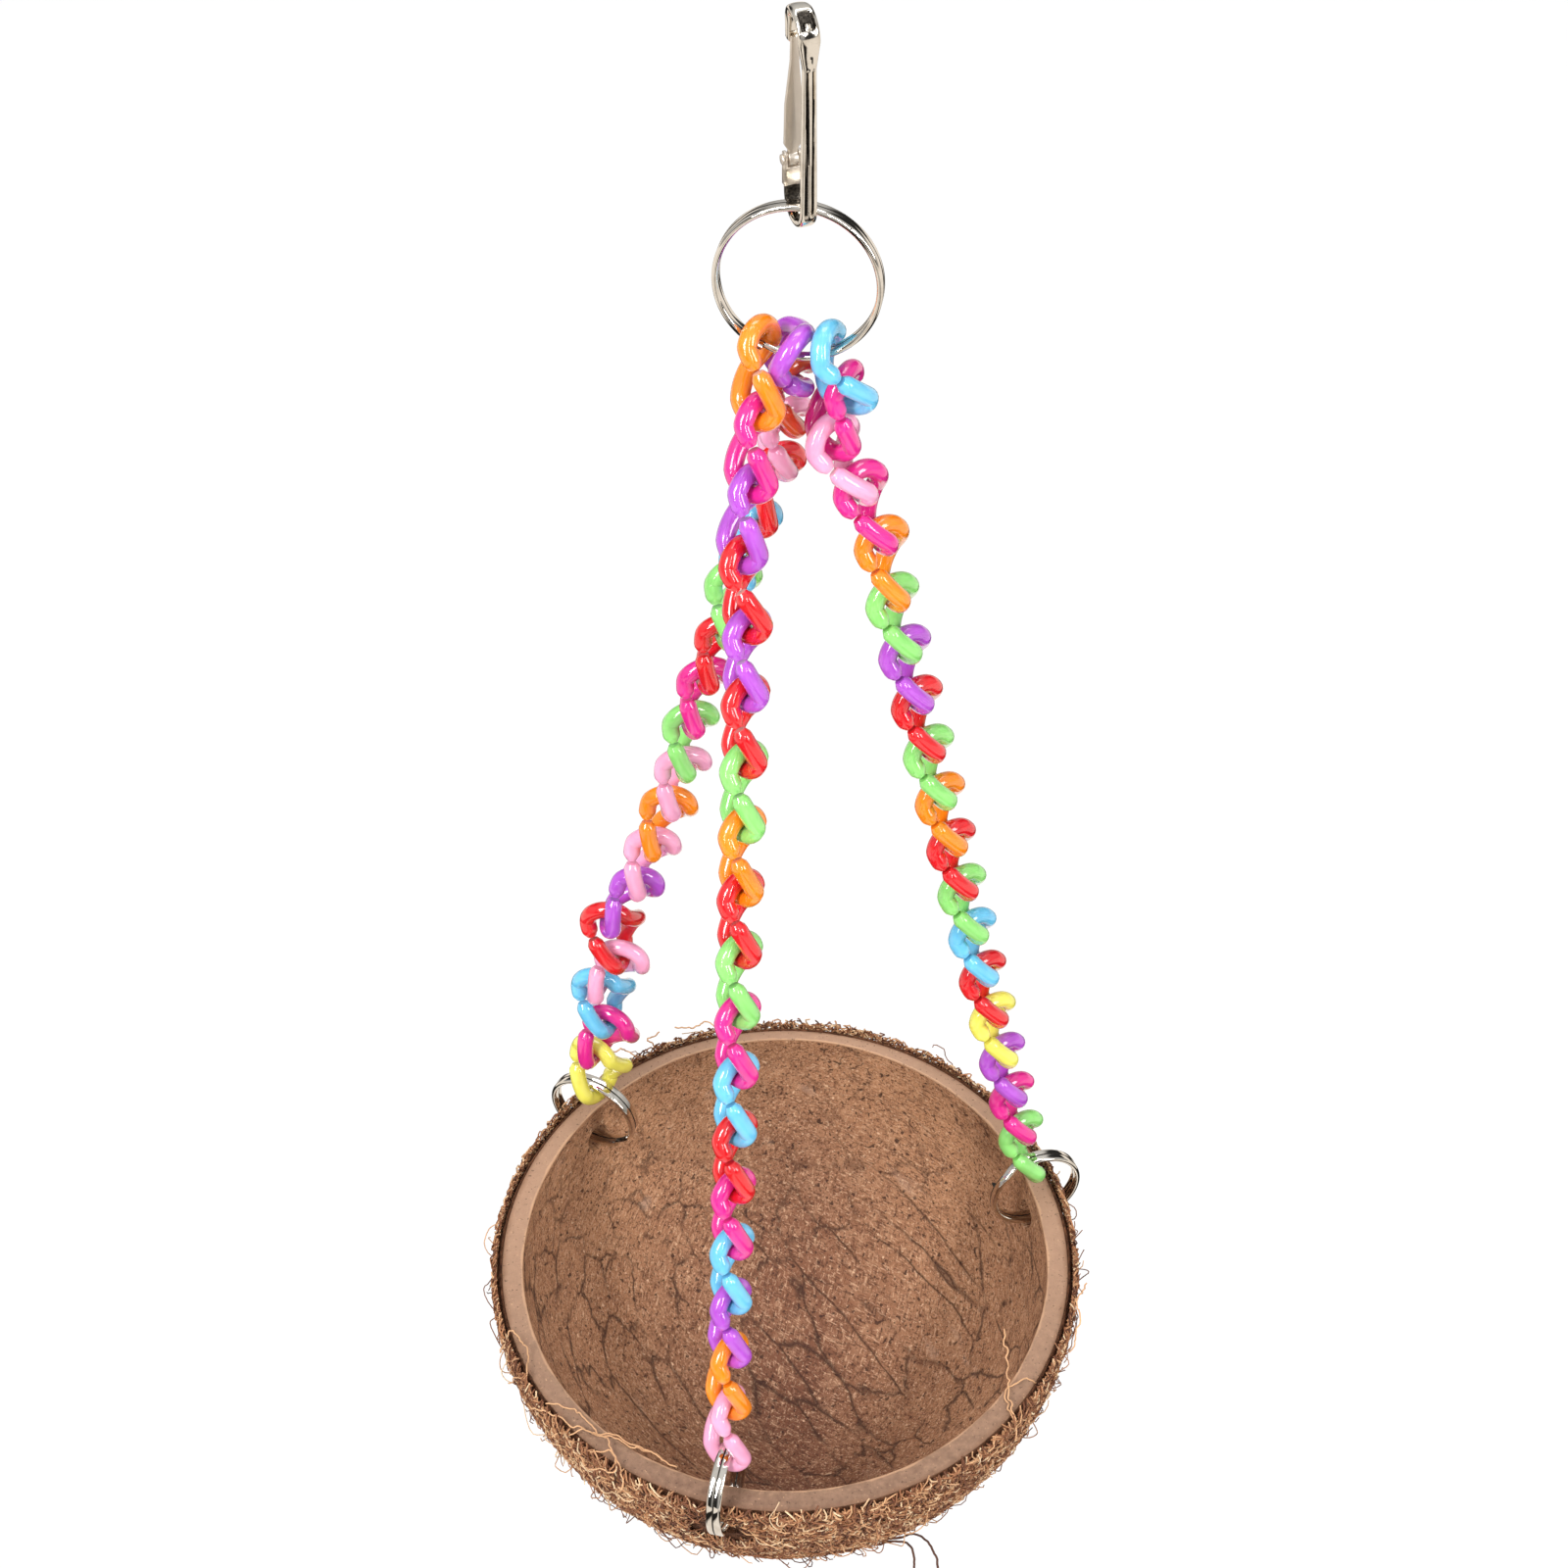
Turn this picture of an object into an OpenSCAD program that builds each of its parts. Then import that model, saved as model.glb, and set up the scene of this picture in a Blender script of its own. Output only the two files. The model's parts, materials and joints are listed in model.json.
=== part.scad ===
// Hanging bird swing. Half a coconut shell hangs from a split ring by three chains of
// plastic C-links, and the split ring hangs in a sprung snap hook.
// Sizes are in millimetres. Z is up, X points right and Y points to the back.
// The origin is the centre of the hook's throat, where the swing hangs on a cage bar.

/* [Snap hook] */
// Inner radius of the bend that hangs on the bar, and of the eye below
throat_r = 3; // [2.8:0.1:3.6]
// Overall height of the hook
hook_h = 38.7; // [36:0.1:44]
// Thickness of the hook's body in its bends
hook_t = 1.3; // [1.2:0.1:1.8]
// Width of the hook's rounded head
head_w = 3.5; // [3:0.1:4]
// Width of the hook's neck, at the upper end of its spine
neck_w = 2.2; // [2:0.1:2.6]
// Width of the hook's spine at its lower end
spine_w = 2.7; // [2.4:0.1:3]
// Length of the taper between head and neck
head_taper = 4.2; // [3:0.2:6]
// Width of the nose that the gate closes on
nose_w = 2.4; // [2.2:0.1:3]
// Length of the nose below the middle of the throat
nose_l = 3.8; // [3.4:0.2:4.4]
// Height of the fork that holds the gate, above the middle of the eye
fork_h = 6.6; // [6:0.1:8]
// Width of the fork over both cheeks
fork_w = 3; // [2.8:0.1:3.6]
// Turn of the hook about its own height, in degrees
hook_turn = 20; // [0:1:24]

/* [Gate] */
// Thickness of the leaf
gate_t = 0.7; // [0.5:0.1:0.9]
// Width of the leaf's upper end
gate_tip_w = 1.4; // [1.2:0.1:2]
// Width of the leaf at its widest, above the fork
gate_w = 2.8; // [2.2:0.1:3]
// Width of the leaf's foot, between the cheeks
gate_foot_w = 1.5; // [1.2:0.1:1.8]
// Radius of the rolled foot
gate_foot_r = 1.1; // [1:0.1:1.3]
// Radius of the rivet that the gate turns on
rivet_r = 0.5; // [0.4:0.05:0.6]
// Radius of the rivet's heads
rivet_head_r = 0.85; // [0.75:0.05:1]
// Height of each rivet head
rivet_head_h = 0.3; // [0.2:0.1:0.5]

/* [Split rings] */
// Outer diameter of the split ring under the hook
top_ring_d = 28; // [26:0.5:32]
// Outer diameter of the three split rings in the shell
small_ring_d = 20; // [18:0.5:22]
// Width of the ring wire, from the ring's inside to its outside
ring_wire_w = 1.8; // [1.4:0.1:2]
// Thickness of one turn of the ring wire
ring_turn_t = 1.05; // [0.8:0.05:1.2]
// Turn of the top ring about the vertical, in degrees
top_ring_turn = -9; // [-15:1:0]
// Lean of the top ring's lower side to the front, in degrees
top_ring_lean = 8; // [0:1:12]

/* [Chain links] */
// Number of links in each chain
link_count = 18; // [14:1:20]
// Overall length of a link
link_l = 20.25; // [19.6:0.05:22]
// Overall width of a link, from its slit bar to its corner
link_w = 13.6; // [13.2:0.2:15]
// Diameter of a link's bar
link_t = 3.5; // [3.2:0.1:3.8]
// Inside radius of a link's two end bends
link_bend_r = 2.4; // [2.3:0.1:2.6]
// Bend radius of the corner opposite the slit, at the middle of the bar
link_corner_r = 2.4; // [2.2:0.1:3]
// Width of the slit that lets one link onto the next
link_slit = 0.7; // [0.5:0.1:1]
// Height of the slit above the middle of the link
link_slit_up = 1.8; // [0:0.2:2.6]
// Twist of a link from its middle to either end, in degrees
link_twist = 41; // [40:1:46]
// Share of a link's half length that its twist is made in
twist_share = 0.64; // [0.6:0.02:0.8]

/* [Coconut shell] */
// Outer diameter over the coir
bowl_d = 117; // [110:1:122]
// Thickness of the coir coat
coir_t = 1.7; // [1:0.1:2.5]
// Thickness of the hard shell
shell_t = 4.5; // [3.5:0.1:5]
// Diameter of the three holes for the rings
hole_d = 6; // [5:0.1:6.5]
// Depth of the holes below the rim
hole_drop = 8.5; // [7.5:0.1:9.5]
// Tilt of the bowl to the front, in degrees
bowl_tilt = 6; // [0:1:8]
// Middle of the bowl to the right of the hook
bowl_right = -2.3; // [-5:0.1:3]
// Middle of the bowl behind the hook
bowl_back = -5.6; // [-9:0.1:0]

/* [Clearances] */
// Gap between links, and between a link and a ring
link_gap = 0.3; // [0.2:0.05:0.5]
// Gap between the gate and the hook's body
gate_gap = 0.2; // [0.15:0.05:0.3]
// Radial clearance of the gate on its rivet
rivet_gap = 0.05; // [0.03:0.01:0.1]
// Gap between the two turns of a split ring
turn_gap = 0.1; // [0.05:0.01:0.2]

/* [Hidden] */
$fn = 64;
cut = 1;
link_sides = 8;
ring_sides = 8;
bend_steps = 4;
corner_steps = 2;
ring_steps = 72;
step_steps = 4;

// The hook's own heights, down from the middle of its throat
eye_z = -(hook_h - 2 * throat_r - 2 * hook_t);
fork_top = eye_z + fork_h;
rivet_z = fork_top - gate_foot_r - gate_gap;
rivet_y = throat_r + hook_t / 2;
gate_tip_y = throat_r - gate_t / 2 - gate_gap;
// The leaf ends under the bar that fills the throat, and laps the nose from there down
gate_tip_z = -sqrt(pow(throat_r, 2) - pow(gate_tip_y - gate_t / 2, 2)) - gate_gap;
groove_w = neck_w * 0.2;
groove_deep = hook_t * 0.3;
groove_x = neck_w * 0.23;
recess_w = head_w * 0.5;
recess_h = head_w * 0.6;
recess_deep = hook_t * 0.55;
recess_lean = 60;
tongue_w = head_w * 0.24;
tongue_lean = 30;

// The places of the two bends of a link's bar, along its middle line
link_r = link_t / 2;
bend_r = link_bend_r + link_r;
link_half = link_l / 2 - link_r;
bend_z = link_half - bend_r;
corner_x = link_w - bend_r - link_t - link_corner_r;
arm_turn = atan2(bend_z, -corner_x) - acos((link_corner_r - bend_r) / norm([corner_x, bend_z]));
pitch = 2 * link_half - link_t - link_gap;

// A ring wire's places. The wire leaves its first turn for its second where the split is.
top_r = (top_ring_d - ring_wire_w) / 2;
small_r = (small_ring_d - ring_wire_w) / 2;
turn_y = (ring_turn_t + turn_gap) / 2;
step_share = 0.09;
end_share = 0.05;
corner_share = 0.28;

// Height of the top ring's wire above the eye's lowest inside point is its play in the eye
ring_play = norm([ring_wire_w / 2, turn_y + ring_turn_t / 2]) + 4 * turn_gap;
top_wire_z = eye_z - throat_r + ring_play;

// Places of links and rings on each other
wire_over = link_r + turn_y + ring_turn_t / 2 + link_gap;
seat_over = wire_over - (link_t + link_gap) / 2;

// The shell's own radii. The inside is centred a little higher, so the bottom is thicker.
bowl_r = bowl_d / 2;
shell_r = bowl_r - coir_t;
inner_r = shell_r - shell_t;
hole_r = hole_d / 2;
wall_mid_r = (bowl_r + inner_r) / 2;
hole_out = sqrt(pow(wall_mid_r, 2) - pow(hole_drop, 2));
wire_down = hole_r * 0.25;
wire_out = hole_r * 0.15;

// One entry for each chain: front, right and left
CHAINS = ["front", "right", "left"];
// Direction of the chain's hole, in degrees from X in the plane of the rim
hole_turns = [258, 18, 138];
// Place of the chain on the top ring, in degrees from the ring's lowest point
seat_turns = [-36, 26, -2];
// Turn of each chain's links about the chain, in degrees
link_turns = [-2, -12, 0];
// Extra turn of each chain's last link, which its last three links share, to cross its ring
last_turns = [15, 0, 0];
last_links = 3;
// Links that hang loose, from the top down. The angles lean a link's lower end to the right
// and to the back, and turn it about its chain.
loose_links = [
    [[0, -5, 11], [-3, 0, 11], [-6, -4, 8], [6, -3, 6]],
    [[7, 4, 32], [-20, -2, 25], [12, 0, 4], [6, -2, 1], [-1, -4, -1]],
    [[7, 27, 7], [6, 11, -9], [3, 7, -10], [-8, -11, -19], [-8, -11, -18], [3, -9, -26],
     [-6, 0, -34], [-3, -1, -30], [3, -2, -31], [-3, 2, -36], [-5, -2, -48], [-5, -1, -45],
     [-18, -3, -45], [21, -1, -54], [-15, 3, -61], [19, -2, -60], [-7, 2, -74], [12, -4, -83]]
];
// Slide of the same links up into the link above, as shares of the bar's diameter
slide_shares = [
    [0.03, 0, 0.08, 0.03],
    [0.4, 0.86, 0.8, 0.37, 0.03],
    [0.14, 0.09, 0.06, 0.09, 0.03, 0, 0.06, 0.06, 0.14, 0.06, 0.03, 0.09, 0.09, 0.14, 0.09, 0.2,
     0, 0.06]
];
// Turn of each small ring about its chain, and the place of its split
ring_turns = [-3, 2, 15];
split_turns = [150, 130, 205];

// Colours of the links from the top of each chain down
ORANGE = "#FF8A1E";
MAGENTA = "#F0329B";
PINK = "#F9A8CC";
PURPLE = "#C55ED8";
RED = "#E8262C";
GREEN = "#93E072";
BLUE = "#7CCBEA";
YELLOW = "#F2EE63";
link_colours = [
    [ORANGE, MAGENTA, PURPLE, RED, PURPLE, RED, GREEN, ORANGE, RED,
     GREEN, MAGENTA, BLUE, RED, MAGENTA, BLUE, PURPLE, ORANGE, PINK],
    [BLUE, MAGENTA, PINK, MAGENTA, ORANGE, GREEN, PURPLE, RED, GREEN,
     ORANGE, RED, GREEN, BLUE, RED, YELLOW, PURPLE, MAGENTA, GREEN],
    [PURPLE, ORANGE, PINK, RED, BLUE, GREEN, RED, MAGENTA, GREEN,
     PINK, ORANGE, PINK, PURPLE, RED, PINK, BLUE, MAGENTA, YELLOW]
];

// The two middle links of a chain share one node
mid_link = floor(link_count / 2);
function link_node(c, k) =
    k == mid_link || k == mid_link + 1
    ? str(CHAINS[c], "_links_", mid_link, "_", mid_link + 1)
    : str(CHAINS[c], "_link_", k);

// Vectors
function unit(v) = v / norm(v);
function turn_x(v, a) = [v.x, v.y * cos(a) - v.z * sin(a), v.y * sin(a) + v.z * cos(a)];
function turn_z(v, a) = [v.x * cos(a) - v.y * sin(a), v.x * sin(a) + v.y * cos(a), v.z];
function along(v, u) = unit(v - (v * u) * u);
// A place frame is [origin, x, y, z], and carries a point from local sizes to the model
function placed(f, v) = f[0] + v.x * f[1] + v.y * f[2] + v.z * f[3];

// Faces of a tube whose rings of n points lie one after another, with both ends closed
function tube_faces(rings, n) = concat(
    [for (i = [0:rings - 2], j = [0:n - 1]) [i * n + j, (i + 1) * n + j, i * n + (j + 1) % n]],
    [for (i = [0:rings - 2], j = [0:n - 1])
        [i * n + (j + 1) % n, (i + 1) * n + j, (i + 1) * n + (j + 1) % n]],
    [for (j = [1:n - 2]) [0, j, j + 1]],
    [for (j = [1:n - 2]) [(rings - 1) * n, (rings - 1) * n + j + 1, (rings - 1) * n + j]]
);

// Top ring: a point on its wire, a turn from its lowest point, and how it hangs in the eye
function in_top_ring(v) = [0, 0, top_wire_z] + turn_z(turn_x(v - [0, 0, top_r], -top_ring_lean), top_ring_turn);
function top_seat(a) = in_top_ring([top_r * sin(a), 0, -top_r * cos(a)]);
function top_ring_way(a) = in_top_ring([cos(a), 0, sin(a)]) - in_top_ring([0, 0, 0]);
top_ring_frame = [
    in_top_ring([0, 0, 0]),
    in_top_ring([1, 0, 0]) - in_top_ring([0, 0, 0]),
    in_top_ring([0, 1, 0]) - in_top_ring([0, 0, 0]),
    in_top_ring([0, 0, 1]) - in_top_ring([0, 0, 0])
];

// Bowl: the front chain hangs straight and taut, which sets the bowl's height
chain_reach = link_count * pitch - 2 * seat_over + 2 * small_r;
function hole_wire(c) =
    let (out = hole_out + wire_out)
    turn_x([out * cos(hole_turns[c]), out * sin(hole_turns[c]), -wire_down - hole_drop], bowl_tilt);
front_off = top_seat(seat_turns[0]) - hole_wire(0) - [bowl_right, bowl_back, 0];
bowl_z = front_off.z - sqrt(pow(chain_reach, 2) - pow(front_off.x, 2) - pow(front_off.y, 2));
bowl_middle = [bowl_right, bowl_back, bowl_z];

// Chains: the wire in the hole, the wire at the small ring's top, and the way up the chain
function low_wire(c) = bowl_middle + hole_wire(c);
function chain_up(c) = unit(top_seat(seat_turns[c]) - low_wire(c));
function chain_end(c) = low_wire(c) + 2 * small_r * chain_up(c);
function ring_out(c) =
    let (up = chain_up(c))
    let (out = along(turn_x([cos(hole_turns[c]), sin(hole_turns[c]), 0], bowl_tilt), up))
    cos(ring_turns[c]) * out + sin(ring_turns[c]) * cross(up, out);

// The axes of link k, with its own height last
function loose(c, k) = k > len(loose_links[c]) ? [0, 0, 0] : loose_links[c][k - 1];
function slide(c, k) = k > len(slide_shares[c]) ? 0 : link_t * slide_shares[c][k - 1];
function last_turn(c, k) = last_turns[c] * max(0, k - link_count + last_links) / last_links;
function link_axes(c, k) =
    let (q = loose(c, k))
    let (up = chain_up(c))
    let (side = along([1, 0, 0], up))
    let (back = cross(up, side))
    let (top = cos(q[0]) * cos(q[1]) * up - sin(q[0]) * cos(q[1]) * side - sin(q[1]) * back)
    let (x = along(back, top))
    let (y = cross(top, x))
    let (a = link_turns[c] + q[2] + last_turn(c, k))
    [cos(a) * x + sin(a) * y, cos(a) * y - sin(a) * x, top];

// The way of a link's wire over its top bend, and under its lower bend
function top_way(m) = cos(link_twist) * m.x - sin(link_twist) * m.y;
function low_way(m) = cos(link_twist) * m.x + sin(link_twist) * m.y;
// Two wires that cross lie over each other along the line square to both
function over(a, b, up) = let (n = unit(cross(a, b))) n * up < 0 ? -n : n;

// Each link's top wire, from the seat on the top ring down, with no gap taken up yet
function hung(c, k) =
    let (m = link_axes(c, k))
    let (up = chain_up(c))
    k == 1
    ? (wire_over + turn_gap) * over(top_ring_way(seat_turns[c]), top_way(m), up)
    : let (above = link_axes(c, k - 1))
        hung(c, k - 1) - 2 * link_half * above.z + slide(c, k) * up
        + (link_t + link_gap) * over(low_way(above), top_way(m), up);
// What the hung chain misses its ring by is shared out over all of its gaps
function chain_miss(c) =
    let (m = link_axes(c, link_count))
    chain_end(c) - top_seat(seat_turns[c]) - hung(c, link_count) + 2 * link_half * m.z
    - wire_over * over(low_way(m), ring_out(c), chain_up(c));
function link_frame(c, k) =
    let (m = link_axes(c, k))
    let (share = k / (link_count + 1))
    [top_seat(seat_turns[c]) + hung(c, k) + share * chain_miss(c) - link_half * m.z, m.x, m.y, m.z];

// Middle line of a link's bar, flat: up the slit bar, over the top bend, round the corner,
// under the lower bend and up to the slit again
link_line = concat(
    [[-bend_r, link_slit_up + link_slit / 2]],
    [for (i = [0:bend_steps]) let (a = 180 - i * (180 - arm_turn) / bend_steps)
        [bend_r * cos(a), bend_z + bend_r * sin(a)]],
    [for (i = [0:corner_steps]) let (a = arm_turn - i * 2 * arm_turn / corner_steps)
        [corner_x + link_corner_r * cos(a), link_corner_r * sin(a)]],
    [for (i = [0:bend_steps]) let (a = -arm_turn - i * (180 - arm_turn) / bend_steps)
        [bend_r * cos(a), -bend_z + bend_r * sin(a)]],
    [[-bend_r, link_slit_up - link_slit / 2]]
);
// The twist turns each height of the link about the line that it is pulled along
function twist_at(z) = -link_twist * max(-1, min(1, z / (twist_share * link_half)));
link_mids = [for (p = link_line) turn_z([p.x, 0, p.y], twist_at(p.y))];
link_last = len(link_line) - 1;
link_ring_points = [
    for (i = [0:link_last])
        let (t = unit(link_mids[min(i + 1, link_last)] - link_mids[max(i - 1, 0)]))
        let (n = along(turn_z([0, 1, 0], twist_at(link_line[i].y)), t))
        let (b = cross(t, n))
        for (j = [0:link_sides - 1])
            let (a = (j + 0.5) * 360 / link_sides)
            link_mids[i] + link_r * (cos(a) * n + sin(a) * b)
];
link_faces = tube_faces(len(link_line), link_sides);

// Outline of one turn of ring wire: a flat bar with its corners taken off
wire_corner = ring_turn_t * corner_share;
wire_a = ring_wire_w / 2;
wire_b = ring_turn_t / 2;
wire_outline = [
    [wire_a, wire_b - wire_corner], [wire_a - wire_corner, wire_b],
    [wire_corner - wire_a, wire_b], [-wire_a, wire_b - wire_corner],
    [-wire_a, wire_corner - wire_b], [wire_corner - wire_a, -wire_b],
    [wire_a - wire_corner, -wire_b], [wire_a, wire_corner - wire_b]
];
// Share of a turn, from the split: the first turn, the step across, and the second turn
ring_shares = concat(
    [for (i = [0:ring_steps / 2]) end_share + (1 - step_share - end_share) * i * 2 / ring_steps],
    [for (i = [1:step_steps - 1]) 1 - step_share + step_share * i / step_steps],
    [for (i = [0:ring_steps / 2]) 1 + (1 - step_share) * i * 2 / ring_steps]
);
function wire_y(share) = turn_y * max(-1, min(1, 1 - 2 * (1 - share) / step_share));
ring_faces = tube_faces(len(ring_shares), ring_sides);

// A split ring of mean radius r in a place frame whose y is the ring's axis
module split_ring(r, f, split) {
    points = [
        for (s = ring_shares, q = wire_outline)
            let (a = split + 360 * s)
            placed(f, [(r + q.x) * cos(a), wire_y(s) + q.y, (r + q.x) * sin(a)])
    ];
    color("#D6D3CE") polyhedron(points, ring_faces, convexity = 6);
}

module chain_link(c, k) {
    f = link_frame(c, k);
    color(link_colours[c][(k - 1) % len(link_colours[c])])
        polyhedron([for (p = link_ring_points) placed(f, p)], link_faces, convexity = 6);
}

module top_split_ring() {
    split_ring(top_r, top_ring_frame, -82);
}

module small_split_ring(c) {
    up = chain_up(c);
    out = ring_out(c);
    split_ring(small_r, [low_wire(c) + small_r * up, out, cross(up, out), up], split_turns[c]);
}

// Stands a side outline, drawn in Y and Z, to a width along X
module across(w) {
    rotate([90, 0, 90]) linear_extrude(w, center = true) children();
}

module long_loop(r) {
    circle(r);
    translate([0, eye_z]) circle(r);
    translate([-r, eye_z]) square([2 * r, -eye_z]);
}

module hook_side() {
    difference() {
        long_loop(throat_r + hook_t);
        long_loop(throat_r);
        translate([0, fork_top]) square([throat_r + hook_t + cut, -fork_top - nose_l]);
    }
}

module hook_front() {
    half = throat_r + hook_t;
    polygon([
        [-head_w / 2, half], [head_w / 2, half], [head_w / 2, 0],
        [neck_w / 2, -head_taper], [spine_w / 2, eye_z], [spine_w / 2, eye_z - half],
        [-spine_w / 2, eye_z - half], [-spine_w / 2, eye_z], [-neck_w / 2, -head_taper],
        [-head_w / 2, 0]
    ]);
}

module hook_plan() {
    half = throat_r + hook_t;
    polygon([
        [-head_w / 2, -half], [head_w / 2, -half], [head_w / 2, 0], [nose_w / 2, half],
        [-nose_w / 2, half], [-head_w / 2, 0]
    ]);
}

module snap_hook() {
    half = throat_r + hook_t;
    spine_l = -head_taper - eye_z;
    color("#CFCBC6") rotate([0, 0, hook_turn]) difference() {
        union() {
            intersection() {
                across(head_w) hook_side();
                rotate([90, 0, 0]) linear_extrude(2 * half + cut, center = true) hook_front();
                translate([0, 0, eye_z - half]) linear_extrude(hook_h) hook_plan();
            }
            translate([-fork_w / 2, throat_r, eye_z]) cube([fork_w, hook_t, fork_h]);
        }
        translate([-gate_foot_w / 2 - gate_gap / 2, throat_r - cut, rivet_z - gate_foot_r - gate_gap])
            cube([gate_foot_w + gate_gap, hook_t + 2 * cut, fork_h]);
        translate([0, rivet_y, rivet_z]) rotate([0, 90, 0])
            cylinder(r = rivet_r, h = fork_w + cut, center = true);
        rotate([-recess_lean, 0, 0]) difference() {
            translate([-recess_w / 2, -half - cut, -recess_h / 2])
                cube([recess_w, recess_deep + cut, recess_h]);
            rotate([recess_lean - tongue_lean, 0, 0]) translate([-tongue_w / 2, -half - cut, 0])
                cube([tongue_w, hook_t + cut, recess_h / 2]);
        }
        for (side = [-1, 1])
            translate([side * groove_x - groove_w / 2, -half - cut, eye_z])
                cube([groove_w, groove_deep + cut, spine_l]);
    }
}

module hook_gate() {
    lean = atan2(rivet_y - gate_tip_y, gate_tip_z - rivet_z);
    leaf_l = norm([rivet_y - gate_tip_y, gate_tip_z - rivet_z]);
    neck = gate_foot_r + gate_gap * 3;
    color("#C9C4BE") rotate([0, 0, hook_turn]) translate([0, rivet_y, rivet_z]) rotate([lean, 0, 0])
        difference() {
            union() {
                rotate([90, 0, 0]) linear_extrude(gate_t, center = true)
                    polygon([
                        [-gate_foot_w / 2, 0], [gate_foot_w / 2, 0], [gate_foot_w / 2, neck],
                        [gate_w / 2, neck + gate_foot_r], [gate_w / 2, leaf_l * 0.45],
                        [gate_tip_w / 2, leaf_l * 0.8], [gate_tip_w / 2, leaf_l],
                        [-gate_tip_w / 2, leaf_l], [-gate_tip_w / 2, leaf_l * 0.8],
                        [-gate_w / 2, leaf_l * 0.45], [-gate_w / 2, neck + gate_foot_r],
                        [-gate_foot_w / 2, neck]
                    ]);
                rotate([0, 90, 0]) cylinder(r = gate_foot_r, h = gate_foot_w, center = true);
            }
            rotate([0, 90, 0])
                cylinder(r = rivet_r + rivet_gap, h = gate_foot_w + cut, center = true);
        }
}

module gate_rivet() {
    color("#B8B4AE") rotate([0, 0, hook_turn]) translate([0, rivet_y, rivet_z]) rotate([0, 90, 0]) {
        cylinder(r = rivet_r, h = fork_w, center = true);
        for (side = [-1, 1])
            translate([0, 0, side * (fork_w + rivet_head_h) / 2])
                cylinder(r = rivet_head_r, h = rivet_head_h, center = true);
    }
}

// Drills the three holes of the bowl, in its own frame
module drilled() {
    difference() {
        children();
        for (a = hole_turns)
            rotate([0, 0, a]) translate([hole_out, 0, -hole_drop]) rotate([0, 90, 0])
                cylinder(r = hole_r, h = bowl_r - inner_r + 4 * cut, center = true);
    }
}

// The lower half of a ball with a ball taken out
module half_ball(r, hollow_r, hollow_up) {
    difference() {
        sphere(r, $fn = 128);
        translate([0, 0, hollow_up]) sphere(hollow_r, $fn = 128);
        translate([-r - cut, -r - cut, 0]) cube([2 * r + 2 * cut, 2 * r + 2 * cut, r + cut]);
    }
}

module coconut_shell() {
    color("#8A5F42") translate(bowl_middle) rotate([bowl_tilt, 0, 0])
        drilled() half_ball(shell_r, inner_r, 0);
}

module coir_coat() {
    color("#9A6B45") translate(bowl_middle) rotate([bowl_tilt, 0, 0])
        drilled() half_ball(bowl_r, shell_r, 0);
}

snap_hook();
hook_gate();
gate_rivet();
top_split_ring();
coconut_shell();
coir_coat();
for (c = [0:2]) small_split_ring(c);
for (c = [0:2], k = [1:link_count]) chain_link(c, k);
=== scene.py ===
# %% [markdown]
# # A bird swing made of a coconut shell
# Half a coconut shell hangs from a snap hook by three chains of plastic links. This notebook
# dresses the swing for a picture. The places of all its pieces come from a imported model, so the
# first step loads that model. Nothing is moved by hand: each piece is made where its solid is.

# %% Load the model
import json
import math

import bmesh
import bpy
import numpy as np
from mathutils import Matrix, Vector, noise


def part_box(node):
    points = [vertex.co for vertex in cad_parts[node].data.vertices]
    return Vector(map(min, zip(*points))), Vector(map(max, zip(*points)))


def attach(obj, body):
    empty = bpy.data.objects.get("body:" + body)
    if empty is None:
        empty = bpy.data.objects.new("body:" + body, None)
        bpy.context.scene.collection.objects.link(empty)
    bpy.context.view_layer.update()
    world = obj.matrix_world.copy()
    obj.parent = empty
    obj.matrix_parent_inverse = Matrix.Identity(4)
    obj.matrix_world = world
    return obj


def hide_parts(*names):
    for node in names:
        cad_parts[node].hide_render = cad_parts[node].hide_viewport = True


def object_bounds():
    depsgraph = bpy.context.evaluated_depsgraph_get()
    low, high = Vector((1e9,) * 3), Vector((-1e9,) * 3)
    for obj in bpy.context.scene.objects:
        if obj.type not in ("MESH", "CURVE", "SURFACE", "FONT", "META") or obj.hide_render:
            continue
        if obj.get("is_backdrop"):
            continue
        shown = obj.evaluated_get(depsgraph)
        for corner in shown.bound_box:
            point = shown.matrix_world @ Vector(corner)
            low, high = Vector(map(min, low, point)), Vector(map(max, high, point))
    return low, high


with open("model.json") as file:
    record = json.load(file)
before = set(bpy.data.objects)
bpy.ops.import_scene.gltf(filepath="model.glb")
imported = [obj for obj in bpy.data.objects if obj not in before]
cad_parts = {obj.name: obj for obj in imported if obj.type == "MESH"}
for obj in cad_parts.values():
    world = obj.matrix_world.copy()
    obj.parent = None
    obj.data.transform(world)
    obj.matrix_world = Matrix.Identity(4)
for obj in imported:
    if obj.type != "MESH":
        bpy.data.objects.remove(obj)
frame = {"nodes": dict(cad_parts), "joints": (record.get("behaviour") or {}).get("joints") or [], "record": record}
cad_low, cad_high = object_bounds()
MM = 0.001
print("the swing is", [round((b - a) / MM, 1) for a, b in zip(cad_low, cad_high)], "mm")

# %% [markdown]
# ## The camera
# The picture looks down at about 44 degrees from half a metre in front, through a lens of 85 mm.
# The lens and the place decide how fast the chains narrow towards the bowl, so they are
# set first and everything else is judged through them.

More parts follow.
